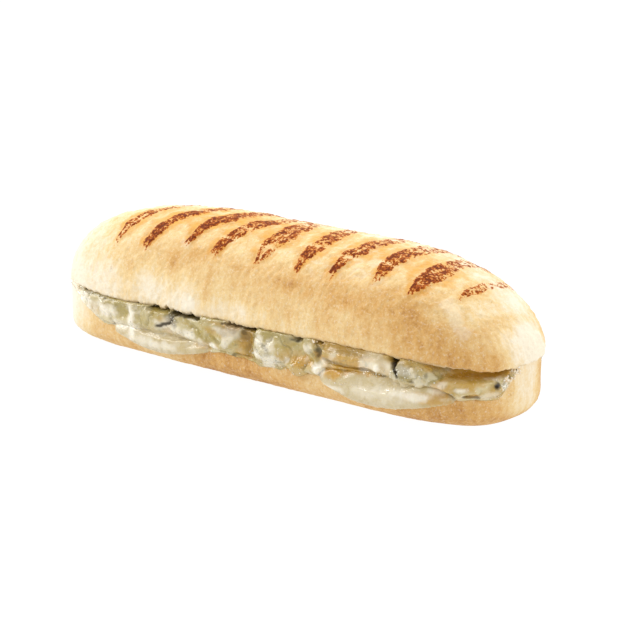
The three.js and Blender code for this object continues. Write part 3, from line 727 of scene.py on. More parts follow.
def bothSides(rows):
    # each row on the front, and again on the back, with the side before it
    for way in (-1, 1):
        for place, *rest in rows:
            yield way, sidePlace(way, place), *rest


def veinAndSlitStrokes(run, side, z, widening=1):
    # for each vein on each side, how near points are to it times its amount
    for amount, width, path in veins:
        for way in (-1, 1):
            moved = [(sidePlace(way, place), height) for place, height in path]
            yield amount * strokeStrength(run, z, width * widening, moved) * (side == way)


def zoneStrength(run, side, z, wobble, forms):
    strength = np.zeros(len(run))
    for way, place, height, halfLong, halfTall, amount in bothSides(forms):
        away = np.hypot((run - place) / halfLong, (z - height) / halfTall) + wobble
        strength = np.maximum(strength, amount * ease(away, *zoneEdge) * (side == way))
    return strength


# where the large slices drape over the tray's edge
laid = {
    # side, start, end, how high they reach, and how softly they end there
    "slices": [
        (-1, -73, -9, 15.2, 2.2), (-1, 45.4, 110.5, 18.3, 0.35),
        (1, -92, -30, 18, 0.5), (1, 20, 88, 15.6, 1.6),
    ],
    "endHeight": 12.8, "power": 2.6, "endPart": 0.94,
    # how a slice's upper part is drawn up to that height: where along it, and how far below its top
    "stations": 60, "nearStation": 1.5, "drawnAbove": 0.2, "drawnPart": 0.85,
    "drawnFrom": 3.5, "drawnTo": 0.4,
}


def layEdge(run, start, end, top):
    # how high a slice reaches along its run, and how far along it is, 0 in its middle and 1 at its ends
    part = np.abs(2 * run - start - end) / (end - start)
    rise = np.maximum(0, 1 - part ** laid["power"]) ** 0.5
    return laid["endHeight"] + (top - laid["endHeight"]) * rise, part


def drapedOver(run, side, z):
    # 1 on a slice, and 0 past its ends and above its upper edge
    cover = np.zeros_like(run)
    for way, start, end, top, soft in laid["slices"]:
        edge, part = layEdge(run, start, end, top)
        inside = ease(z, edge + soft, edge - soft) * ease(part, 1, laid["endPart"])
        cover = np.maximum(cover, inside * (side == way))
    return cover


crevices = {"noise": (1, 6.5, 401, 2), "patches": (1, 8, 407, 1), "patchSpan": (-0.5, 0.2)}


def creaseStrength(points, width):
    # fine crevices between the soft lumps, in patches: 1 in one, 0 away from it
    ridge = hump(rough(points, crevices["noise"]), 0, width)
    return ridge * ease(rough(points, crevices["patches"]), *crevices["patchSpan"])


# how strongly the cheese is tinted between the zones, and how much a zone keeps other tints away

paint = {
    # the crevices between the lumps, and the cheese beside them, take painted shade in dark and olive
    "creaseWidth": 0.12, "creaseDark": 0.22, "besideCrease": 0.34, "besideOlive": 0.7,
    "cloudMilky": 0.6, "milkyNoise": (1, 7, 411, 2), "milkySpan": (0.1, 0.8),
    "cloudGolden": 0.5, "goldenNoise": (1, 9, 421, 2), "goldenSpan": (0.2, 0.9),
    "wobble": (0.4, 2.6, 301, 3), "wobbleShift": 10, "drapeEdge": (0.25, 3, 351, 2), "keepsClear": 0.8,
    "nudgedAlong": (0.7, 2, 341, 1), "nudgedUp": (0.4, 1.4, 342, 1),
    # painted shade on the cheese just under the top half, olive, golden and dark: how far below the cut, and
    # where along the front
    "underFrom": 3.6, "underFull": 0.8, "underAlong": (1, (104, 84), (-92, -66)),
    "underOlive": 0.9, "underGolden": 0.9, "goldenAlong": (40, 50), "underDark": 0.26,
    "underEdge": (0.8, 3, 361, 1), "underEven": 0.75, "underUneven": (0.35, 7, 363, 1),
    # the hollow at the right end, painted golden brown as shade: along, up, across, and in from the rim
    "hollowShade": (1, (99, 105), (18.7, 19.5), (12, 6), (-1.4, -2.8)),
}


def ownTintsAndShade(points, draped, along, hollowShade):
    # the cheese's own tints in patches, and painted shade in its creases and under the top half
    z, cut = points[:, 2], cutLevel(points[:, 0])
    bare = 1 - draped
    raggedZ = z + rough(points, paint["underEdge"])
    under = ease(raggedZ, cut - paint["underFrom"], cut - paint["underFull"])
    uneven = paint["underEven"] + rough(points, paint["underUneven"])
    under *= patch(paint["underAlong"], along, along) * uneven
    clouds = ease(rough(points, paint["milkyNoise"]), *paint["milkySpan"])
    milky = paint["cloudMilky"] * clouds * bare * (1 - under)
    # painted shade: olive beside the crevices and under the top half
    olive = np.maximum(
        paint["besideOlive"] * creaseStrength(points, paint["besideCrease"]) * bare,
        paint["underOlive"] * under,
    )
    # the cheese's own golden clouds, and painted shade in golden under the top half towards the right
    golden = np.maximum(
        paint["cloudGolden"] * ease(rough(points, paint["goldenNoise"]), *paint["goldenSpan"]) * bare,
        paint["underGolden"] * under * ease(along, *paint["goldenAlong"]),
    )
    # painted shade: dark in the crevices and in the band under the top half
    crease = creaseStrength(points, paint["creaseWidth"]) * bare
    dark = np.maximum(paint["creaseDark"] * crease, paint["underDark"] * under)
    return {"milky": milky, "olive": olive, "golden": np.maximum(golden, hollowShade), "dark": dark}


def paintFilling(piece):
    points = centred(readPoints(piece))
    run, side, out = rimRun(points)
    x, y, z = points.T
    draped = drapedOver(run, side, z + rough(points, paint["drapeEdge"]))
    setValues(piece, "draped", draped)
    # painted shade in the hollow at the right end
    hollowShade = patch(paint["hollowShade"], x, z, y, out)
    tintsAndShade = ownTintsAndShade(points, draped, run * -side, hollowShade)
    stained = np.zeros(len(points))
    for i, (kind, forms) in enumerate(zones.items()):
        wobble = rough(points, paint["wobble"], paint["wobbleShift"] * i)
        placed = zoneStrength(run, side, z, wobble, forms)
        strength = np.maximum(placed, tintsAndShade[kind] * (1 - stained))
        strength *= 1 - hollowShade * (kind in ("milky", "olive"))
        stained = np.maximum(stained, paint["keepsClear"] * placed)
        if kind == "dark":
            nudgedRun = run + rough(points, paint["nudgedAlong"])
            nudgedZ = z + rough(points, paint["nudgedUp"])
            # dark veins of the cheese, and painted shade in its creases and slits
            for stroke in veinAndSlitStrokes(nudgedRun, side, nudgedZ):
                strength = np.maximum(strength, stroke)
        setValues(piece, kind, strength)


slicePieces = ["slice_front_left", "slice_front_right", "slice_front_end", "slice_front_upper",
               "slice_back_left", "slice_back_right"]
largeSlices = ["slice_front_left", "slice_front_right", "slice_back_left", "slice_back_right"]
curdPieces = ["curd_end_left", "curd_left", "curd_bubble", "curd_ball", "curd_drip", "curd_shiny",
              "curd_back", "curd_back_right"]
bluePieces = ["blue_crumb_veined", "blue_crumb_middle", "blue_crumb_right", "blue_crumb_end",
              "blue_crumb_back_left", "blue_crumb_back_middle", "blue_crumb_back_right"]


# melted cheese between the halves

melt = {
    "around": 1200, "lipSteps": 38, "gap": 0.1, "inset": 1.6, "far": 16, "lift": 12, "tuck": 0.8,
    "bellyDepth": 2.2, "bellyLean": 0.8, "bellyFullness": 0.7, "wideRoom": 8,
    "leastRoom": 0.9, "openRoom": (0.1, 0.9), "closedInset": 3,
    # swells along the roll: side, place, width, how far out
    "swells": [(-1, -48, 17, 1.7), (-1, 9, 5, -2), (-1, 38, 5, -2), (-1, 61, 12, 0.8), (-1, 108, 10, 0.6),
               (1, -60, 14, 1.4), (1, -18, 8, -2), (1, 30, 16, 1.2), (1, 78, 9, -2)],
    "ledge": (1, (90, 104), (4, -2)), "ledgeDepth": 7, "ledgeParts": (0.5, 0.72),
    "recess": (62, 15, -2.4), "recessParts": (0.3, 0.9),
    "fill": 2.0, "fillParts": (0.5, 1), "lowFill": 1.7, "lowFillParts": (0.4, 0), "fillRoom": (0.4, 1.6),
    "topRise": 0.6, "gapDepth": 3.4, "gapParts": (0.9, 0.96), "gapEnds": (0.6, 0.8),
    "lumps": (0.4, 7, 71, 2), "folds": (0.16, 2.6, 75, 2), "grain": (0.06, 1, 79, 2),
    "wobble": (0.15, 5, 77, 1), "jagged": (0.05, 1.3, 78, 1), "sliceWobble": (0.5, 3, 81, 1),
    "creases": 0.7, "creaseWidth": 0.16,
    "blend": 1.7, "sunkUnder": 0.45, "veinDepth": 0.7, "veinWider": 1.3,
    "drop": 0.5, "dropNoise": (0.5, 3.4, 83, 2), "leastDrop": 0.3, "dropRoom": (0.6, 3),
    "overRim": [(-0.6, 1), (0.25, 0.92), (0.5, 0.5)],  # how far out, and the part of the drop, row by row
    "closedRim": -1.4,  # how far out instead where the halves meet
    # rays find how far out the slices stand: from how far out, and what counts as no slice
    "rayFrom": 8, "noSlice": -9.0, "noUpperSlice": -2, "behindSlice": 0.4, "sliceNear": (-1.5, -0.5),
    "rayLow": -0.6, "rayHigh": 0.4, "rayUnderTop": 1, "evened": 9,
}

# where the cheese runs down over the tray's edge: run along the rim, half width, drop
overflows = [
    (-31, 4, 1.6), (-21, 5, 1.6), (-10, 4, 1.0), (3, 4, 0.8), (17, 4.5, 2.0), (26, 5, 1.8), (122, 5, 0.8),
]


def overflowDrop(run, side, points):
    drop = melt["drop"] + rough(points, melt["dropNoise"])
    for way, place, width, rise in bothSides(overflows):
        drop += rise * hump(run, place, width) * (side == way)
    return np.maximum(drop, melt["leastDrop"])


def sliceReach(slices, x, y, z):
    # how far out of the rim the slices stand at a height, and far in where there is none
    outX, outY = outward(x, y)
    away = melt["rayFrom"]
    reach = np.full(len(x), melt["noSlice"])
    for i in range(len(x)):
        start = Vector((x[i] + away * outX[i], y[i] + away * outY[i] + middleY, z[i])) * mm
        for piece in slices:
            found, spot, _, _ = piece.ray_cast(start, Vector((-outX[i], -outY[i], 0)), distance=2 * away * mm)
            if found:
                reach[i] = max(reach[i], away - (spot - start).length / mm)
    return reach


def liftedEdge(run, side, z):
    # draws the upper part of a large slice up to where it ends against the cheese above it
    stations = np.linspace(run.min(), run.max(), laid["stations"])
    highest = [z[np.abs(run - station) < laid["nearStation"]].max() for station in stations]
    tops = np.interp(run, stations, highest)
    upper = ease(z, tops - laid["drawnFrom"], tops - laid["drawnTo"])
    lifted = z.copy()
    for way, start, end, top, _ in laid["slices"]:
        if (side == way).mean() > 0.5 and start < np.median(run) < end:
            edge, part = layEdge(run, start, end, top)
            lack = np.maximum(0, edge + laid["drawnAbove"] - tops)
            lifted += lack * ease(part, 1, laid["drawnPart"]) * upper
    return lifted


formShape = {"slicePower": 3.5, "lumpPower": 2, "falling": 1.4}  # how square a form is, and how it falls away


def rimForm(node):
    # the middle and the half sizes of a solid set along the rim: along it, out of it and up
    points = centred(readPoints(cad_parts[node]))
    run, side, out = rimRun(points)
    spans = [(values.min(), values.max()) for values in (run, out, points[:, 2])]
    middle = [(low + high) / 2 for low, high in spans]
    half = [(high - low) / 2 for low, high in spans]
    power = formShape["slicePower" if "slice" in node else "lumpPower"]
    return {"side": np.sign(np.median(side)), "middle": middle, "half": half, "power": power}


def formOut(form, run, z):
    # how far out the outer face of a form stands, falling away past its edge
    power = form["power"]
    away = np.abs(run - form["middle"][0]) / form["half"][0]
    away = (away ** power + (np.abs(z - form["middle"][2]) / form["half"][2]) ** power) ** (1 / power)
    face = np.sqrt(np.maximum(0, 1 - away ** 2)) - formShape["falling"] * np.maximum(0, away - 1)
    return form["middle"][1] + form["half"][1] * face


def meltOut(x, y, part):
    # how far the cheese reaches out of the rim at a part of its height, from the tray to the top half
    room = cutLevel(x) - trayLevel(x, y) - melt["leastRoom"]
    edge = -melt["inset"] - melt["closedInset"] * (1 - ease(room, *melt["openRoom"]))
    for way, at, width, rise in melt["swells"]:
        edge = edge + rise * hump(x, at, width) * (np.sign(y) == way)
    belly = np.sin(np.pi * part ** melt["bellyLean"]) ** melt["bellyFullness"]
    swollen = melt["bellyDepth"] * ease(room, 0, melt["wideRoom"]) * belly
    onLedge = patch(melt["ledge"], x, y)
    ledge = melt["ledgeDepth"] * (onLedge * ease(part, *melt["ledgeParts"]))
    at, width, rise = melt["recess"]
    recess = rise * hump(x, at, width) * ease(part, *melt["recessParts"]) * (y < 0)
    filled = melt["fill"] * ease(part, *melt["fillParts"]) * (1 - onLedge)
    filled = filled + melt["lowFill"] * ease(part, *melt["lowFillParts"])
    return edge + swollen - ledge + recess + filled * ease(room, *melt["fillRoom"])


def sliceStand(slices, x, y, run, side):
    # how far out the large slices stand round the rim, as a function of height
    # it is measured at two heights and evened a little along the rim
    lowAt = np.full_like(x, laid["endHeight"] + melt["rayLow"])
    highAt = np.full_like(x, laid["endHeight"] + melt["rayHigh"])
    for way, start, end, top, _ in laid["slices"]:
        edge, _ = layEdge(run, start, end, top)
        highAt = np.where(side == way, np.maximum(highAt, edge - melt["rayUnderTop"]), highAt)
    near = melt["evened"] // 2
    low, high = [
        np.convolve(np.pad(reach, near, "wrap"), np.full(melt["evened"], 1 / melt["evened"]), "valid")
        for reach in (sliceReach(slices, x, y, lowAt), sliceReach(slices, x, y, highAt))
    ]
    high = np.where(high > melt["noUpperSlice"], high, low - 1)
    return lambda z: low + (high - low) * np.clip((z - lowAt) / (highAt - lowAt), 0, 1)


def gapStrength(run, side):
    # 1 where the top half stands clear of the cheese, and 0 elsewhere
    strength = np.zeros_like(run)
    before, within = melt["gapEnds"]
    for start, end in gaps:
        for way in (-1, 1):
            first, last = sorted((sidePlace(way, start), sidePlace(way, end)))
            spans = (first - before, first + within), (last + before, last - within)
            strength = np.maximum(strength, patch((side == way, *spans), run, run))
    return strength


def makeCheeseMelt(slices):
    x, y = rimPath(melt["around"])
    outX, outY = outward(x, y)
    rim = np.stack([x, y, np.zeros_like(x)], axis=1)
    run, side, _ = rimRun(rim)
    stand = sliceStand(slices, x, y, run, side)
    level, room = trayLevel(x, y), cutLevel(x) - trayLevel(x, y)
    drop = overflowDrop(run, side, rim) * ease(room, *melt["dropRoom"])
    forms = [rimForm(node) for node in (*curdPieces, *bluePieces, "slice_front_upper", "slice_front_end")]

    def faceRow(inset):
        row = onTrayFace(x, y, inset)
        row[:, 2] += melt["gap"]
        return row

    def highRow(inset):
        row = onTrayFace(x, y, inset)
        row[:, 2] = cutLevel(row[:, 0]) - melt["gap"]
        return row

    lowOut, highOut = meltOut(x, y, 0), meltOut(x, y, 1)
    rows = [
        spineRow(x, y, spineLevel(x, y) + melt["gap"]),
        faceRow(np.full_like(x, melt["far"])),
        faceRow(np.full_like(x, melt["lift"])),
        faceRow(np.maximum(tray["nestInset"], melt["tuck"] - lowOut)),
    ]
    gapsHere = gapStrength(run, side)
    raised = [form for form in meltForms if form[4] > 0]
    hollows = [(*form[:4], -form[4]) for form in meltForms if form[4] < 0]
    for away, fallen in melt["overRim"]:
        away = np.where(room > 1, away, melt["closedRim"])
        rows.append(np.stack([x + outX * away, y + outY * away, level - drop * fallen], axis=1))
    for part in np.linspace(0, 1, melt["lipSteps"]):
        out = meltOut(x, y, part)
        low, high = faceRow(-out), highRow(-out)
        high[:, 2] += melt["topRise"] * (1 - gapsHere)
        row = low + (high - low) * part
        z = row[:, 2]
        wobble = rough(row, melt["wobble"])
        shaped = out + zoneStrength(run, side, z, wobble, raised)
        shaped -= zoneStrength(run, side, z, wobble, hollows)
        shaped += rough(row, melt["lumps"])
        for form in forms:
            over = formOut(form, run, z) - melt["sunkUnder"]
            shaped = np.where(side == form["side"], smoothMax(shaped, over, melt["blend"]), shaped)
        standOut = stand(z)
        reach = drapedOver(run, side, z + rough(row, melt["sliceWobble"]))
        reach *= ease(standOut, *melt["sliceNear"])
        for groove in veinAndSlitStrokes(run, side, z, melt["veinWider"]):
            shaped -= melt["veinDepth"] * groove
        jagged = rough(flattened(row), melt["jagged"])
        shaped -= melt["gapDepth"] * gapsHere * ease(part + jagged, *melt["gapParts"])
        shaped += rough(row, melt["folds"]) + rough(row, melt["grain"])
        shaped -= melt["creases"] * creaseStrength(row, melt["creaseWidth"]) * (1 - reach)
        shaped += (np.minimum(shaped, standOut - melt["behindSlice"]) - shaped) * reach
        row[:, 0] += outX * (shaped - out)
        row[:, 1] += outY * (shaped - out)
        rows.append(row)
    rows += [highRow(np.maximum(melt["lift"], melt["tuck"] - highOut)),
             spineRow(x, y, cutLevel(tray["spineAlong"] * x) - melt["gap"])]
    points = np.concatenate(rows)
    points[:, 1] += middleY
    faces = ringFaces(len(rows), len(x))
    faces += zipFaces(0, len(x), False) + zipFaces((len(rows) - 1) * len(x), len(x), True)
    piece = meshFrom("cheeseMelt", points, faces)
    paintFilling(piece)
    return piece


# pieces that keep the form of their solid: skinned over evenly, smoothed, made uneven and sunk at their edges

def softPiece(node, name, looks):
    piece = bpy.data.objects.new(name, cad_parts[node].data.copy())
    piece.data.materials.clear()
    bpy.context.scene.collection.objects.link(piece)
    skin = piece.modifiers.new("skin", "REMESH")
    skin.mode = "VOXEL"
    skin.voxel_size = looks["voxel"] * mm
    calm = piece.modifiers.new("calm", "SMOOTH")
    calm.iterations = looks["smoothing"]
    graph = bpy.context.evaluated_depsgraph_get()
    shaped = bpy.data.meshes.new_from_object(piece.evaluated_get(graph))
    piece.modifiers.clear()
    piece.data = shaped
    shaped.name = name
    shaped.shade_smooth()
    points = readPoints(piece)
    normals = readVectors(piece, "normal")
    inPlace = centred(points)
    run, side, _ = rimRun(inPlace)
    uneven = np.full(len(points), float(looks["swell"]))
    for form in looks["uneven"]:
        uneven += rough(points, form)
    uneven -= looks["pits"] * ease(rough(points, pits["noise"]), *pits["span"])
    uneven -= looks["creased"] * creaseStrength(inPlace, melt["creaseWidth"])
    outX, outY = outward(inPlace[:, 0], inPlace[:, 1])
    facing = normals[:, 0] * outX + normals[:, 1] * outY
    sunk = looks["sunk"] * ((1 - facing) / 2) ** 1.5
    part = np.abs(2 * run - run.min() - run.max()) / (run.max() - run.min())
    sunk += looks["sunkEnds"] * ease(part, 0.8, 1)
    if node in largeSlices:
        points[:, 2] = liftedEdge(run, side, points[:, 2])
    points += normals * uneven[:, None]
    points[:, 0] -= outX * sunk
    points[:, 1] -= outY * sunk
    writePoints(piece, points)
    paintFilling(piece)
    return piece


sliceLooks = {"voxel": 0.42, "swell": 0, "smoothing": 12, "sunk": 2.4, "sunkEnds": 2.2,
              "uneven": [(0.35, 12, 101, 2), (0.08, 4, 105, 2)], "pits": 0, "creased": 0}
curdLooks = {"voxel": 0.36, "swell": 0.35, "smoothing": 8, "sunk": 2.0, "sunkEnds": 0.4,
             "uneven": [(0.5, 5, 111, 2), (0.16, 1.8, 115, 2)], "pits": 0, "creased": 0.5}
blueLooks = {"voxel": 0.36, "swell": 0.35, "smoothing": 6, "sunk": 2.0, "sunkEnds": 0.4,
             "uneven": [(0.6, 4, 121, 2), (0.18, 1.5, 125, 2)], "pits": 0.6, "creased": 0.5}
pits = {"noise": (1, 2.2, 129, 2), "span": (0.25, 0.8)}  # the small holes of the blue cheese

# loose crumbs: heaps of uneven small lumps on the bread and in the cheese

lump = {"rings": 5, "around": 8, "steepest": 1.2, "bumps": (0.75, 1.15), "squash": (0.6, 1), "sunk": 0.12}

crumbs = {
    "bread": [
        # run along the rim, height, spread along, spread up, how many, smallest and largest size
        (46, 25.6, 1.2, 0.5, 3, 0.6, 1.5), (131, 18.4, 3, 1.3, 26, 0.6, 1.5),
        (135.5, 21, 2.4, 1.2, 22, 0.6, 1.4), (127, 12.6, 5, 0.5, 12, 0.3, 0.8),
        (60, 12, 6, 0.5, 7, 0.3, 0.7), (-20, 25.4, 16, 0.4, 14, 0.3, 0.7),
        (90, 25.4, 20, 0.4, 8, 0.25, 0.6), (-60, 24.6, 20, 0.4, 8, 0.25, 0.6),
        (33, 12.4, 9, 0.6, 9, 0.3, 0.8),
    ],
    "cheese": [
        (-24, 17, 6, 2, 12, 0.3, 0.8), (18, 17, 6, 3.4, 24, 0.3, 0.9), (26, 15, 5, 2, 12, 0.3, 0.8),
        (92, 20.6, 8, 3, 26, 0.3, 0.9), (129, 16.4, 1.6, 1.2, 16, 0.3, 0.8), (-55, 15, 2, 5, 12, 0.3, 0.7),
        (-33, 22, 3, 1.6, 9, 0.3, 0.8), (78, 18.4, 3, 1.2, 9, 0.3, 0.8), (38, 15, 4, 2, 8, 0.3, 0.7),
    ],
}


def rockPoints(rng, size):
    # an uneven small lump: a ball of rings with random bumps
    turns = np.linspace(0, 2 * np.pi, lump["around"], endpoint=False)
    rises = np.linspace(-lump["steepest"], lump["steepest"], lump["rings"])
    rise, turn = [values.ravel() for values in np.meshgrid(rises, turns, indexing="ij")]
    ball = np.stack([np.cos(rise) * np.cos(turn), np.cos(rise) * np.sin(turn), np.sin(rise)], axis=1)
    ball *= rng.uniform(*lump["bumps"], (len(ball), 1))
    return ball * rng.uniform(*lump["squash"], 3) * size / 2


def lumpFaces():
    last = (lump["rings"] - 1) * lump["around"]
    ends = [range(lump["around"] - 1, -1, -1), range(last, last + lump["around"])]
    return ringFaces(lump["rings"], lump["around"]) + [tuple(end) for end in ends]


crumbRay = {"from": 12, "reach": 30, "spread": 0.6}  # each crumb lands where a ray meets the roll


def makeCrumbs(name, heaps, surfaces, seed):
    rng = np.random.default_rng(seed)
    x, y, run = outlineRun(tray["length"], tray["width"])
    run = run - np.interp(0, x, run)
    bpy.context.view_layer.update()  # so that the rays find the newest pieces too
    lumps, faces = [], []
    for way, place, height, spreadRun, spreadUp, count, small, large in bothSides(heaps):
        for _ in range(count):
            spot = place + rng.normal(0, spreadRun * crumbRay["spread"])
            spot = np.clip(spot, run[0] + 1, run[-1] - 1)
            z = height + rng.normal(0, spreadUp * crumbRay["spread"])
            size = rng.uniform(small, large)
            rimX, rimY = np.interp(spot, run, x), way * np.interp(spot, run, y)
            outX, outY = outward(np.array(rimX), np.array(rimY))
            inward = Vector((-float(outX), -float(outY), 0))
            start = Vector((rimX, rimY + middleY, z)) * mm - inward * crumbRay["from"] * mm
            hits = [surface.ray_cast(start, inward, distance=crumbRay["reach"] * mm) for surface in surfaces]
            landed = [hit for found, hit, _, _ in hits if found]
            if not landed:
                continue
            nearest = min(landed, key=lambda hit: (hit - start).length)
            centre = np.array(nearest) / mm - np.array(inward) * size * lump["sunk"]
            first = len(lumps) * lump["rings"] * lump["around"]
            lumps.append(rockPoints(rng, size) + centre)
            faces += [tuple(first + corner for corner in face) for face in lumpFaces()]
    return meshFrom(name, np.concatenate(lumps), faces)


# materials

def screenColour(red, green, blue):
    values = np.array([red, green, blue]) / 255
    linear = np.where(values <= 0.04045, values / 12.92, ((values + 0.055) / 1.055) ** 2.4)
    return (*[float(value) for value in linear], 1.0)


def newMaterial(name):
    material = bpy.data.materials.new(name)
    material.use_nodes = True
    tree = material.node_tree
    return material, tree, tree.nodes["Principled BSDF"]


def feed(tree, socket, value):
    # a number is set, so is a colour as a screen shows it, and an output is linked
    if isinstance(value, tuple):
        socket.default_value = screenColour(*value)
    elif isinstance(value, (int, float)):
        socket.default_value = value
    else:
        tree.links.new(value, socket)


def newNode(tree, kind, inputs):
    made = tree.nodes.new("ShaderNode" + kind)
    for name, value in inputs.items():
        feed(tree, made.inputs[name], value)
    return made


def stretched(tree, coords, scale):
    made = newNode(tree, "Mapping", {"Vector": coords})
    made.inputs["Scale"].default_value = scale
    return made.outputs["Vector"]


def noise(tree, coords, size, detail, roughness=0.5, distortion=0, scale=None):
    # size is that of the noise's spots in millimetres, and a scale stretches them
    if scale:
        coords = stretched(tree, coords, scale)
    made = newNode(tree, "TexNoise", {"Vector": coords, "Scale": 1 / (size * mm), "Detail": detail,
                                      "Roughness": roughness, "Distortion": distortion})
    return made.outputs["Fac"]


def noisesFrom(tree, forms):
    coords = newNode(tree, "TexCoord", {}).outputs["Object"]
    return {kind: noise(tree, coords, *form) for kind, form in forms.items()}


def ramp(tree, factor, stops):
    made = newNode(tree, "ValToRGB", {"Fac": factor})
    while len(made.color_ramp.elements) < len(stops):
        made.color_ramp.elements.new(0.5)
    for element, (place, colour) in zip(made.color_ramp.elements, stops):
        element.position = place
        element.color = screenColour(*colour)
    return made.outputs["Color"]


def band(tree, factor, start, end):
    made = newNode(tree, "MapRange", {"Value": factor, "From Min": start, "From Max": end})
    made.interpolation_type = "SMOOTHSTEP"
    return made.outputs["Result"]


def calculate(tree, operation, first, second):
    made = newNode(tree, "Math", {0: first, 1: second})
    made.operation = operation
    return made.outputs["Value"]


def times(tree, first, second):
    return calculate(tree, "MULTIPLY", first, second)


def varied(tree, base, changes):
    # adds noises to a value, each about zero and as strong as its amount
    for value, amount in changes:
        change = times(tree, calculate(tree, "SUBTRACT", value, 0.5), amount)
        base = calculate(tree, "ADD", base, change)
    return base


def mixed(tree, factor, first, second):
    made = tree.nodes.new("ShaderNodeMix")
    made.data_type = "RGBA"
    for socket, value in zip((0, 6, 7), (factor, first, second)):
        feed(tree, made.inputs[socket], value)
    return made.outputs[2]


def tinted(tree, colour, tint, where, amount):
    # a colour with a tint laid over it where a value says, as strong as the amount at most
    return mixed(tree, times(tree, where, amount), colour, tint)


def attribute(tree, name):
    made = newNode(tree, "Attribute", {})
    made.attribute_name = name
    return made.outputs["Fac"]


def bumpFrom(tree, shader, height, depth, strength=1):
    made = newNode(tree, "Bump", {"Height": height, "Strength": strength, "Distance": depth * mm})
    tree.links.new(made.outputs["Normal"], shader.inputs["Normal"])


# colours are written as a screen shows them, red, green and blue from 0 to 255

crustLooks = {
    "baked": [(0, (246, 234, 210)), (0.36, (236, 206, 150)), (0.72, (216, 168, 100)), (1, (178, 122, 62))],
    "uneven": {"broad": 0.3, "patches": 0.4, "fine": 0.4, "grain": 0.34, "streaks": 0.44},
    "speck": (250, 242, 224), "specks": 0.35, "pore": (204, 160, 100), "pores": 0.5, "pale": 0.8,
    "crumb": (232, 210, 168), "crumbs": 0.8, "glow": (236, 176, 84), "glowing": 0.75,
    "burnt": [(0.15, (230, 156, 66)), (0.5, (182, 90, 18)), (1, (112, 44, 0))],
    # the far ends of the grill marks are paler and pinker, a painted reflection of glare
    "heat": 0.95, "mottle": 4.2, "flecks": 3.4, "markGlare": (178, 112, 76), "far": 0.5,
    "roughness": 0.62, "roughnessNoise": 0.2, "specular": 0.12,
    "bump": 0.4, "bumpStrength": 0.8, "grainHeight": 0.6, "poreHeight": -0.5,
    # noises: size of the spots, detail, roughness, distortion and stretching
    "noises": {
        "broad": (14, 3), "patches": (5, 4, 0.62), "fine": (1.5, 4, 0.65), "grain": (0.6, 3, 0.6),
        "streaks": (2.6, 3, 0.6, 0, (1, 1, 0.22)), "specks": (1.0, 4, 0.7), "pores": (1.6, 2, 0.6, 0.3),
        "mottle": (2.6, 5, 0.7, 0.4), "flecks": (1.0, 3, 0.6),
    },
    # where a value starts to ease in and where it is full
    "spans": {"specks": (0.5, 0.72), "pores": (0.69, 0.78), "marked": (0.02, 0.25), "near": (0.36, 0.6),
              "burnt": (0.08, 0.4), "roughness": (0.2, 0.8)},
}


def crustMaterial(name, looks):
    material, tree, shader = newMaterial(name)
    noises, spans = noisesFrom(tree, looks["noises"]), looks["spans"]
    changes = [(noises[kind], amount) for kind, amount in looks["uneven"].items()]
    colour = ramp(tree, varied(tree, attribute(tree, "toast"), changes), looks["baked"])
    specks = band(tree, noises["specks"], *spans["specks"])
    colour = tinted(tree, colour, looks["speck"], specks, looks["specks"])
    pores = band(tree, noises["pores"], *spans["pores"])
    colour = tinted(tree, colour, looks["pore"], pores, looks["pores"])
    colour = tinted(tree, colour, looks["speck"], attribute(tree, "pale"), looks["pale"])
    colour = tinted(tree, colour, looks["crumb"], attribute(tree, "crumbFace"), looks["crumbs"])
    char = attribute(tree, "char")
    changes = [(noises[kind], looks[kind]) for kind in ("mottle", "flecks")]
    heat = varied(tree, times(tree, char, looks["heat"]), changes)
    heat = times(tree, heat, band(tree, char, *spans["marked"]))
    near = times(tree, attribute(tree, "halo"), band(tree, noises["patches"], *spans["near"]))
    colour = tinted(tree, colour, looks["glow"], near, looks["glowing"])
    burnt = ramp(tree, heat, looks["burnt"])
    # painted reflection: the marks on the far side of the crown fade paler, as glare
    burnt = tinted(tree, burnt, looks["markGlare"], attribute(tree, "farGlare"), looks["far"])
    colour = mixed(tree, band(tree, heat, *spans["burnt"]), colour, burnt)
    feed(tree, shader.inputs["Base Color"], colour)
    roughness = band(tree, noises["fine"], *spans["roughness"])
    roughness = varied(tree, looks["roughness"], [(roughness, looks["roughnessNoise"])])
    feed(tree, shader.inputs["Roughness"], roughness)
    shader.inputs["Specular IOR Level"].default_value = looks["specular"]
    changes = [(noises["grain"], looks["grainHeight"]), (pores, looks["poreHeight"])]
    height = varied(tree, noises["fine"], changes)
    bumpFrom(tree, shader, height, looks["bump"], looks["bumpStrength"])
    return material


fillingLooks = {
    # tint and amount of each kind of zone
    "zones": {"olive": ((170, 150, 68), 0.9), "golden": ((196, 150, 52), 1), "milky": ((246, 238, 218), 1)},
    # the small white flecks in the cheese are painted glints
    "dark": (36, 24, 2), "fleck": (124, 116, 78), "fresh": (252, 250, 240),
    "glintStrength": 0.5, "leastGlint": 0.3, "glossNoise": 0.3, "specular": 0.5,
    "coat": 0.35, "coatRoughness": 0.08, "bump": 0.5, "bumpStrength": 0.8, "marbledHeight": 0.5,
    "scatter": (1.0, 0.9, 0.65), "scatterDepth": 1.2,
    "noises": {"clouds": (5, 3, 0.55, 0.6), "marbling": (4.2, 4, 0.62, 1.6), "flecks": (1.2, 3, 0.6, 0.4),
               "gloss": (3, 2), "ripples": (1.6, 3, 0.5)},
    "spans": {"clouds": (0.38, 0.66), "marbling": (0.6, 0.7), "flecks": (0.6, 0.7)},
}

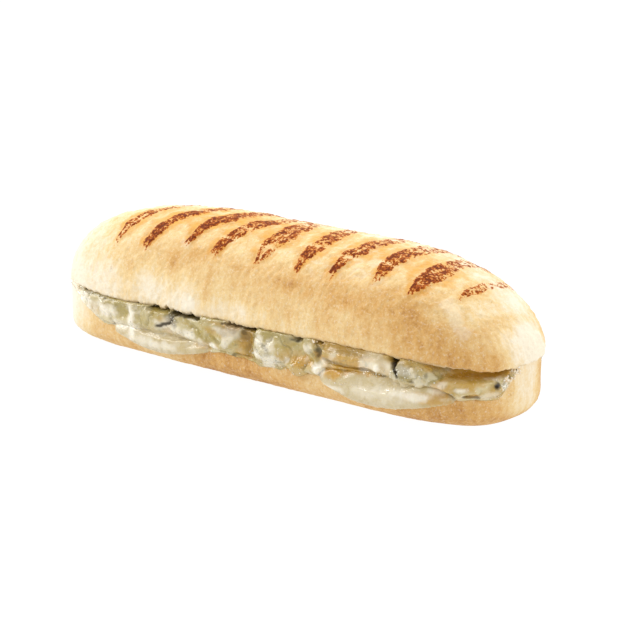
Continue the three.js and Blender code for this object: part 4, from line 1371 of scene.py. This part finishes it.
cheeseLooks = {
    # two colours in clouds, and how strong the veins, how rough the surface and how deep the light goes in
    "melt": {"clouds": [(212, 198, 154), (188, 164, 98)], "veins": 0.3, "roughness": 0.24, "through": 0.4},
    "slice": {"clouds": [(210, 194, 156), (198, 178, 128)], "veins": 0.0, "roughness": 0.24, "through": 0.5},
    "curd": {"clouds": [(206, 190, 142), (184, 160, 96)], "veins": 0.15, "roughness": 0.2, "through": 0.4},
    "blue": {"clouds": [(212, 202, 170), (186, 170, 122)], "veins": 0.5, "roughness": 0.28, "through": 0.35},
}


def cheeseMaterial(name, looks):
    material, tree, shader = newMaterial(name)
    noises, spans = noisesFrom(tree, fillingLooks["noises"]), fillingLooks["spans"]
    clouds = band(tree, noises["clouds"], *spans["clouds"])
    colour = mixed(tree, clouds, *looks["clouds"])
    onSlice = mixed(tree, clouds, *cheeseLooks["slice"]["clouds"])
    colour = mixed(tree, attribute(tree, "draped"), colour, onSlice)
    for kind, (tint, amount) in fillingLooks["zones"].items():
        colour = tinted(tree, colour, tint, attribute(tree, kind), amount)
    marbled = band(tree, noises["marbling"], *spans["marbling"])
    colour = tinted(tree, colour, fillingLooks["fleck"], marbled, looks["veins"])
    # painted glints: small white flecks, stronger on the veined cheese
    flecks = band(tree, noises["flecks"], *spans["flecks"])
    glintStrength = fillingLooks["glintStrength"] * min(1, fillingLooks["leastGlint"] + looks["veins"])
    colour = tinted(tree, colour, fillingLooks["fresh"], flecks, glintStrength)
    # the dark mask: the cheese's own veins and specks, and painted shade in gaps, crevices and under the top
    # half
    dark = attribute(tree, "dark")
    feed(tree, shader.inputs["Base Color"], mixed(tree, dark, colour, fillingLooks["dark"]))
    roughness = varied(tree, looks["roughness"], [(noises["gloss"], fillingLooks["glossNoise"])])
    feed(tree, shader.inputs["Roughness"], roughness)
    clear = calculate(tree, "SUBTRACT", 1, dark)
    feed(tree, shader.inputs["Subsurface Weight"], times(tree, clear, looks["through"]))
    feed(tree, shader.inputs["Specular IOR Level"], times(tree, clear, fillingLooks["specular"]))
    shader.inputs["Subsurface Radius"].default_value = fillingLooks["scatter"]
    shader.inputs["Subsurface Scale"].default_value = fillingLooks["scatterDepth"] * mm
    shader.inputs["Coat Weight"].default_value = fillingLooks["coat"]
    shader.inputs["Coat Roughness"].default_value = fillingLooks["coatRoughness"]
    ripples = varied(tree, noises["ripples"], [(noises["marbling"], fillingLooks["marbledHeight"])])
    bumpFrom(tree, shader, ripples, fillingLooks["bump"], fillingLooks["bumpStrength"])
    return material


crumbLooks = {
    "breadCrumb": {"clouds": [(250, 244, 230), (232, 204, 158)], "roughness": 0.7},
    "cheeseCrumb": {"clouds": [(240, 236, 220), (204, 198, 172)], "roughness": 0.25},
    "noises": {"clouds": (0.8, 3, 0.6), "bumps": (0.3, 2)}, "cloudSpan": (0.35, 0.65), "bump": 0.1,
}


def crumbMaterial(name):
    looks = crumbLooks[name]
    material, tree, shader = newMaterial(name)
    noises = noisesFrom(tree, crumbLooks["noises"])
    clouds = band(tree, noises["clouds"], *crumbLooks["cloudSpan"])
    feed(tree, shader.inputs["Base Color"], mixed(tree, clouds, *looks["clouds"]))
    shader.inputs["Roughness"].default_value = looks["roughness"]
    bumpFrom(tree, shader, noises["bumps"], crumbLooks["bump"])
    return material


# stage

studio = {
    # in metres, and the floor's shade is the shader's own value
    "floorSize": 60.0, "floorShade": (0.06, 0.06, 0.06, 1), "floorRoughness": 0.9, "floorGlow": 0.98,
    "surround": 0.9, "litSpot": (0, 0, 0.02),
    "lights": [
        # name, place, size, watts
        ("keyLight", (-1.3, -0.4, 0.9), 0.8, 10.0),
        ("backLight", (-0.3, 0.9, 1.4), 1.0, 10.5),
        ("sideLight", (1.2, 0.9, 0.8), 0.7, 5.0),
        ("sparkleLight", (-0.9, -0.9, 0.85), 0.12, 1.6),
    ],
}

view = {
    "place": (553.6, -591.5, 221.9), "target": (9.66, 3.41, 24.19),
    "lens": 116.38, "sensor": 36, "nearest": 10,
}


def makeStage():
    half = studio["floorSize"] / 2 / mm
    corners = [(-half, -half, 0), (half, -half, 0), (half, half, 0), (-half, half, 0)]
    floor = meshFrom("studioFloor", corners, [(0, 1, 2, 3)])
    material, _, shader = newMaterial("paleFloor")
    shader.inputs["Base Color"].default_value = studio["floorShade"]
    shader.inputs["Roughness"].default_value = studio["floorRoughness"]
    shader.inputs["Specular IOR Level"].default_value = 0
    shader.inputs["Emission Color"].default_value = (1, 1, 1, 1)
    shader.inputs["Emission Strength"].default_value = studio["floorGlow"]
    floor.data.materials.append(material)
    world = bpy.data.worlds.new("paleSurround")
    bpy.context.scene.world = world
    world.use_nodes = True
    world.node_tree.nodes["Background"].inputs["Color"].default_value = (1, 1, 1, 1)
    world.node_tree.nodes["Background"].inputs["Strength"].default_value = studio["surround"]
    for name, place, size, watts in studio["lights"]:
        lamp = bpy.data.lights.new(name, "AREA")
        lamp.size = size
        lamp.energy = watts
        light = bpy.data.objects.new(name, lamp)
        light.location = place
        towards = Vector(studio["litSpot"]) - Vector(place)
        light.rotation_euler = towards.to_track_quat("-Z", "Y").to_euler()
        bpy.context.scene.collection.objects.link(light)


def makeCamera():
    lens = bpy.data.cameras.new("photoCamera")
    lens.lens = view["lens"]
    lens.sensor_width = view["sensor"]
    lens.clip_start = view["nearest"] * mm
    camera = bpy.data.objects.new("photoCamera", lens)
    place = (Vector(view["place"]) + Vector((0, middleY, 0))) * mm
    target = (Vector(view["target"]) + Vector((0, middleY, 0))) * mm
    camera.location = place
    camera.rotation_euler = (target - place).to_track_quat("-Z", "Y").to_euler()
    bpy.context.scene.collection.objects.link(camera)
    bpy.context.scene.camera = camera


def dress(piece, material, slot, *nodes):
    piece.data.materials.append(material)
    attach(piece, "root")
    if nodes:
        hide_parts(*nodes)
    return piece


makeCamera()
makeStage()
bpy.context.scene.view_settings.view_transform = "Standard"
print("stage and camera ready")

crust = crustMaterial("grilledCrust", crustLooks)
breadTop = dress(makeBreadTop(), crust, "crust_top", "bread_top")
breadBottom = dress(makeBreadBottom(), crust, "crust_bottom", "bread_bottom")
print("bread ready")

filling = []
kinds = [
    (slicePieces, sliceLooks, cheeseMaterial("paleSlice", cheeseLooks["slice"]), "pale_slice"),
    (curdPieces, curdLooks, cheeseMaterial("paleCurd", cheeseLooks["curd"]), "pale_curd"),
    (bluePieces, blueLooks, cheeseMaterial("veinedCurd", cheeseLooks["blue"]), "veined_curd"),
]
for nodes, looks, material, slot in kinds:
    for node in nodes:
        first, *rest = node.split("_")
        name = first + "".join(word.title() for word in rest)
        filling.append(dress(softPiece(node, name, looks), material, slot, node))
bpy.context.view_layer.update()
slices = [piece for piece in filling if piece.name.startswith("slice")]
meltedCheese = cheeseMaterial("meltedCheese", cheeseLooks["melt"])
filling.append(dress(makeCheeseMelt(slices), meltedCheese, "melted_cheese", "cheese_melt"))
print("filling ready")

surfaces = [breadTop, breadBottom, *filling]
dress(makeCrumbs("breadCrumbs", crumbs["bread"], surfaces, 7), crumbMaterial("breadCrumb"), "crust_top")
dress(makeCrumbs("cheeseCrumbs", crumbs["cheese"], surfaces, 8), crumbMaterial("cheeseCrumb"), "veined_curd")
print("crumbs ready")

bpy.context.view_layer.update()
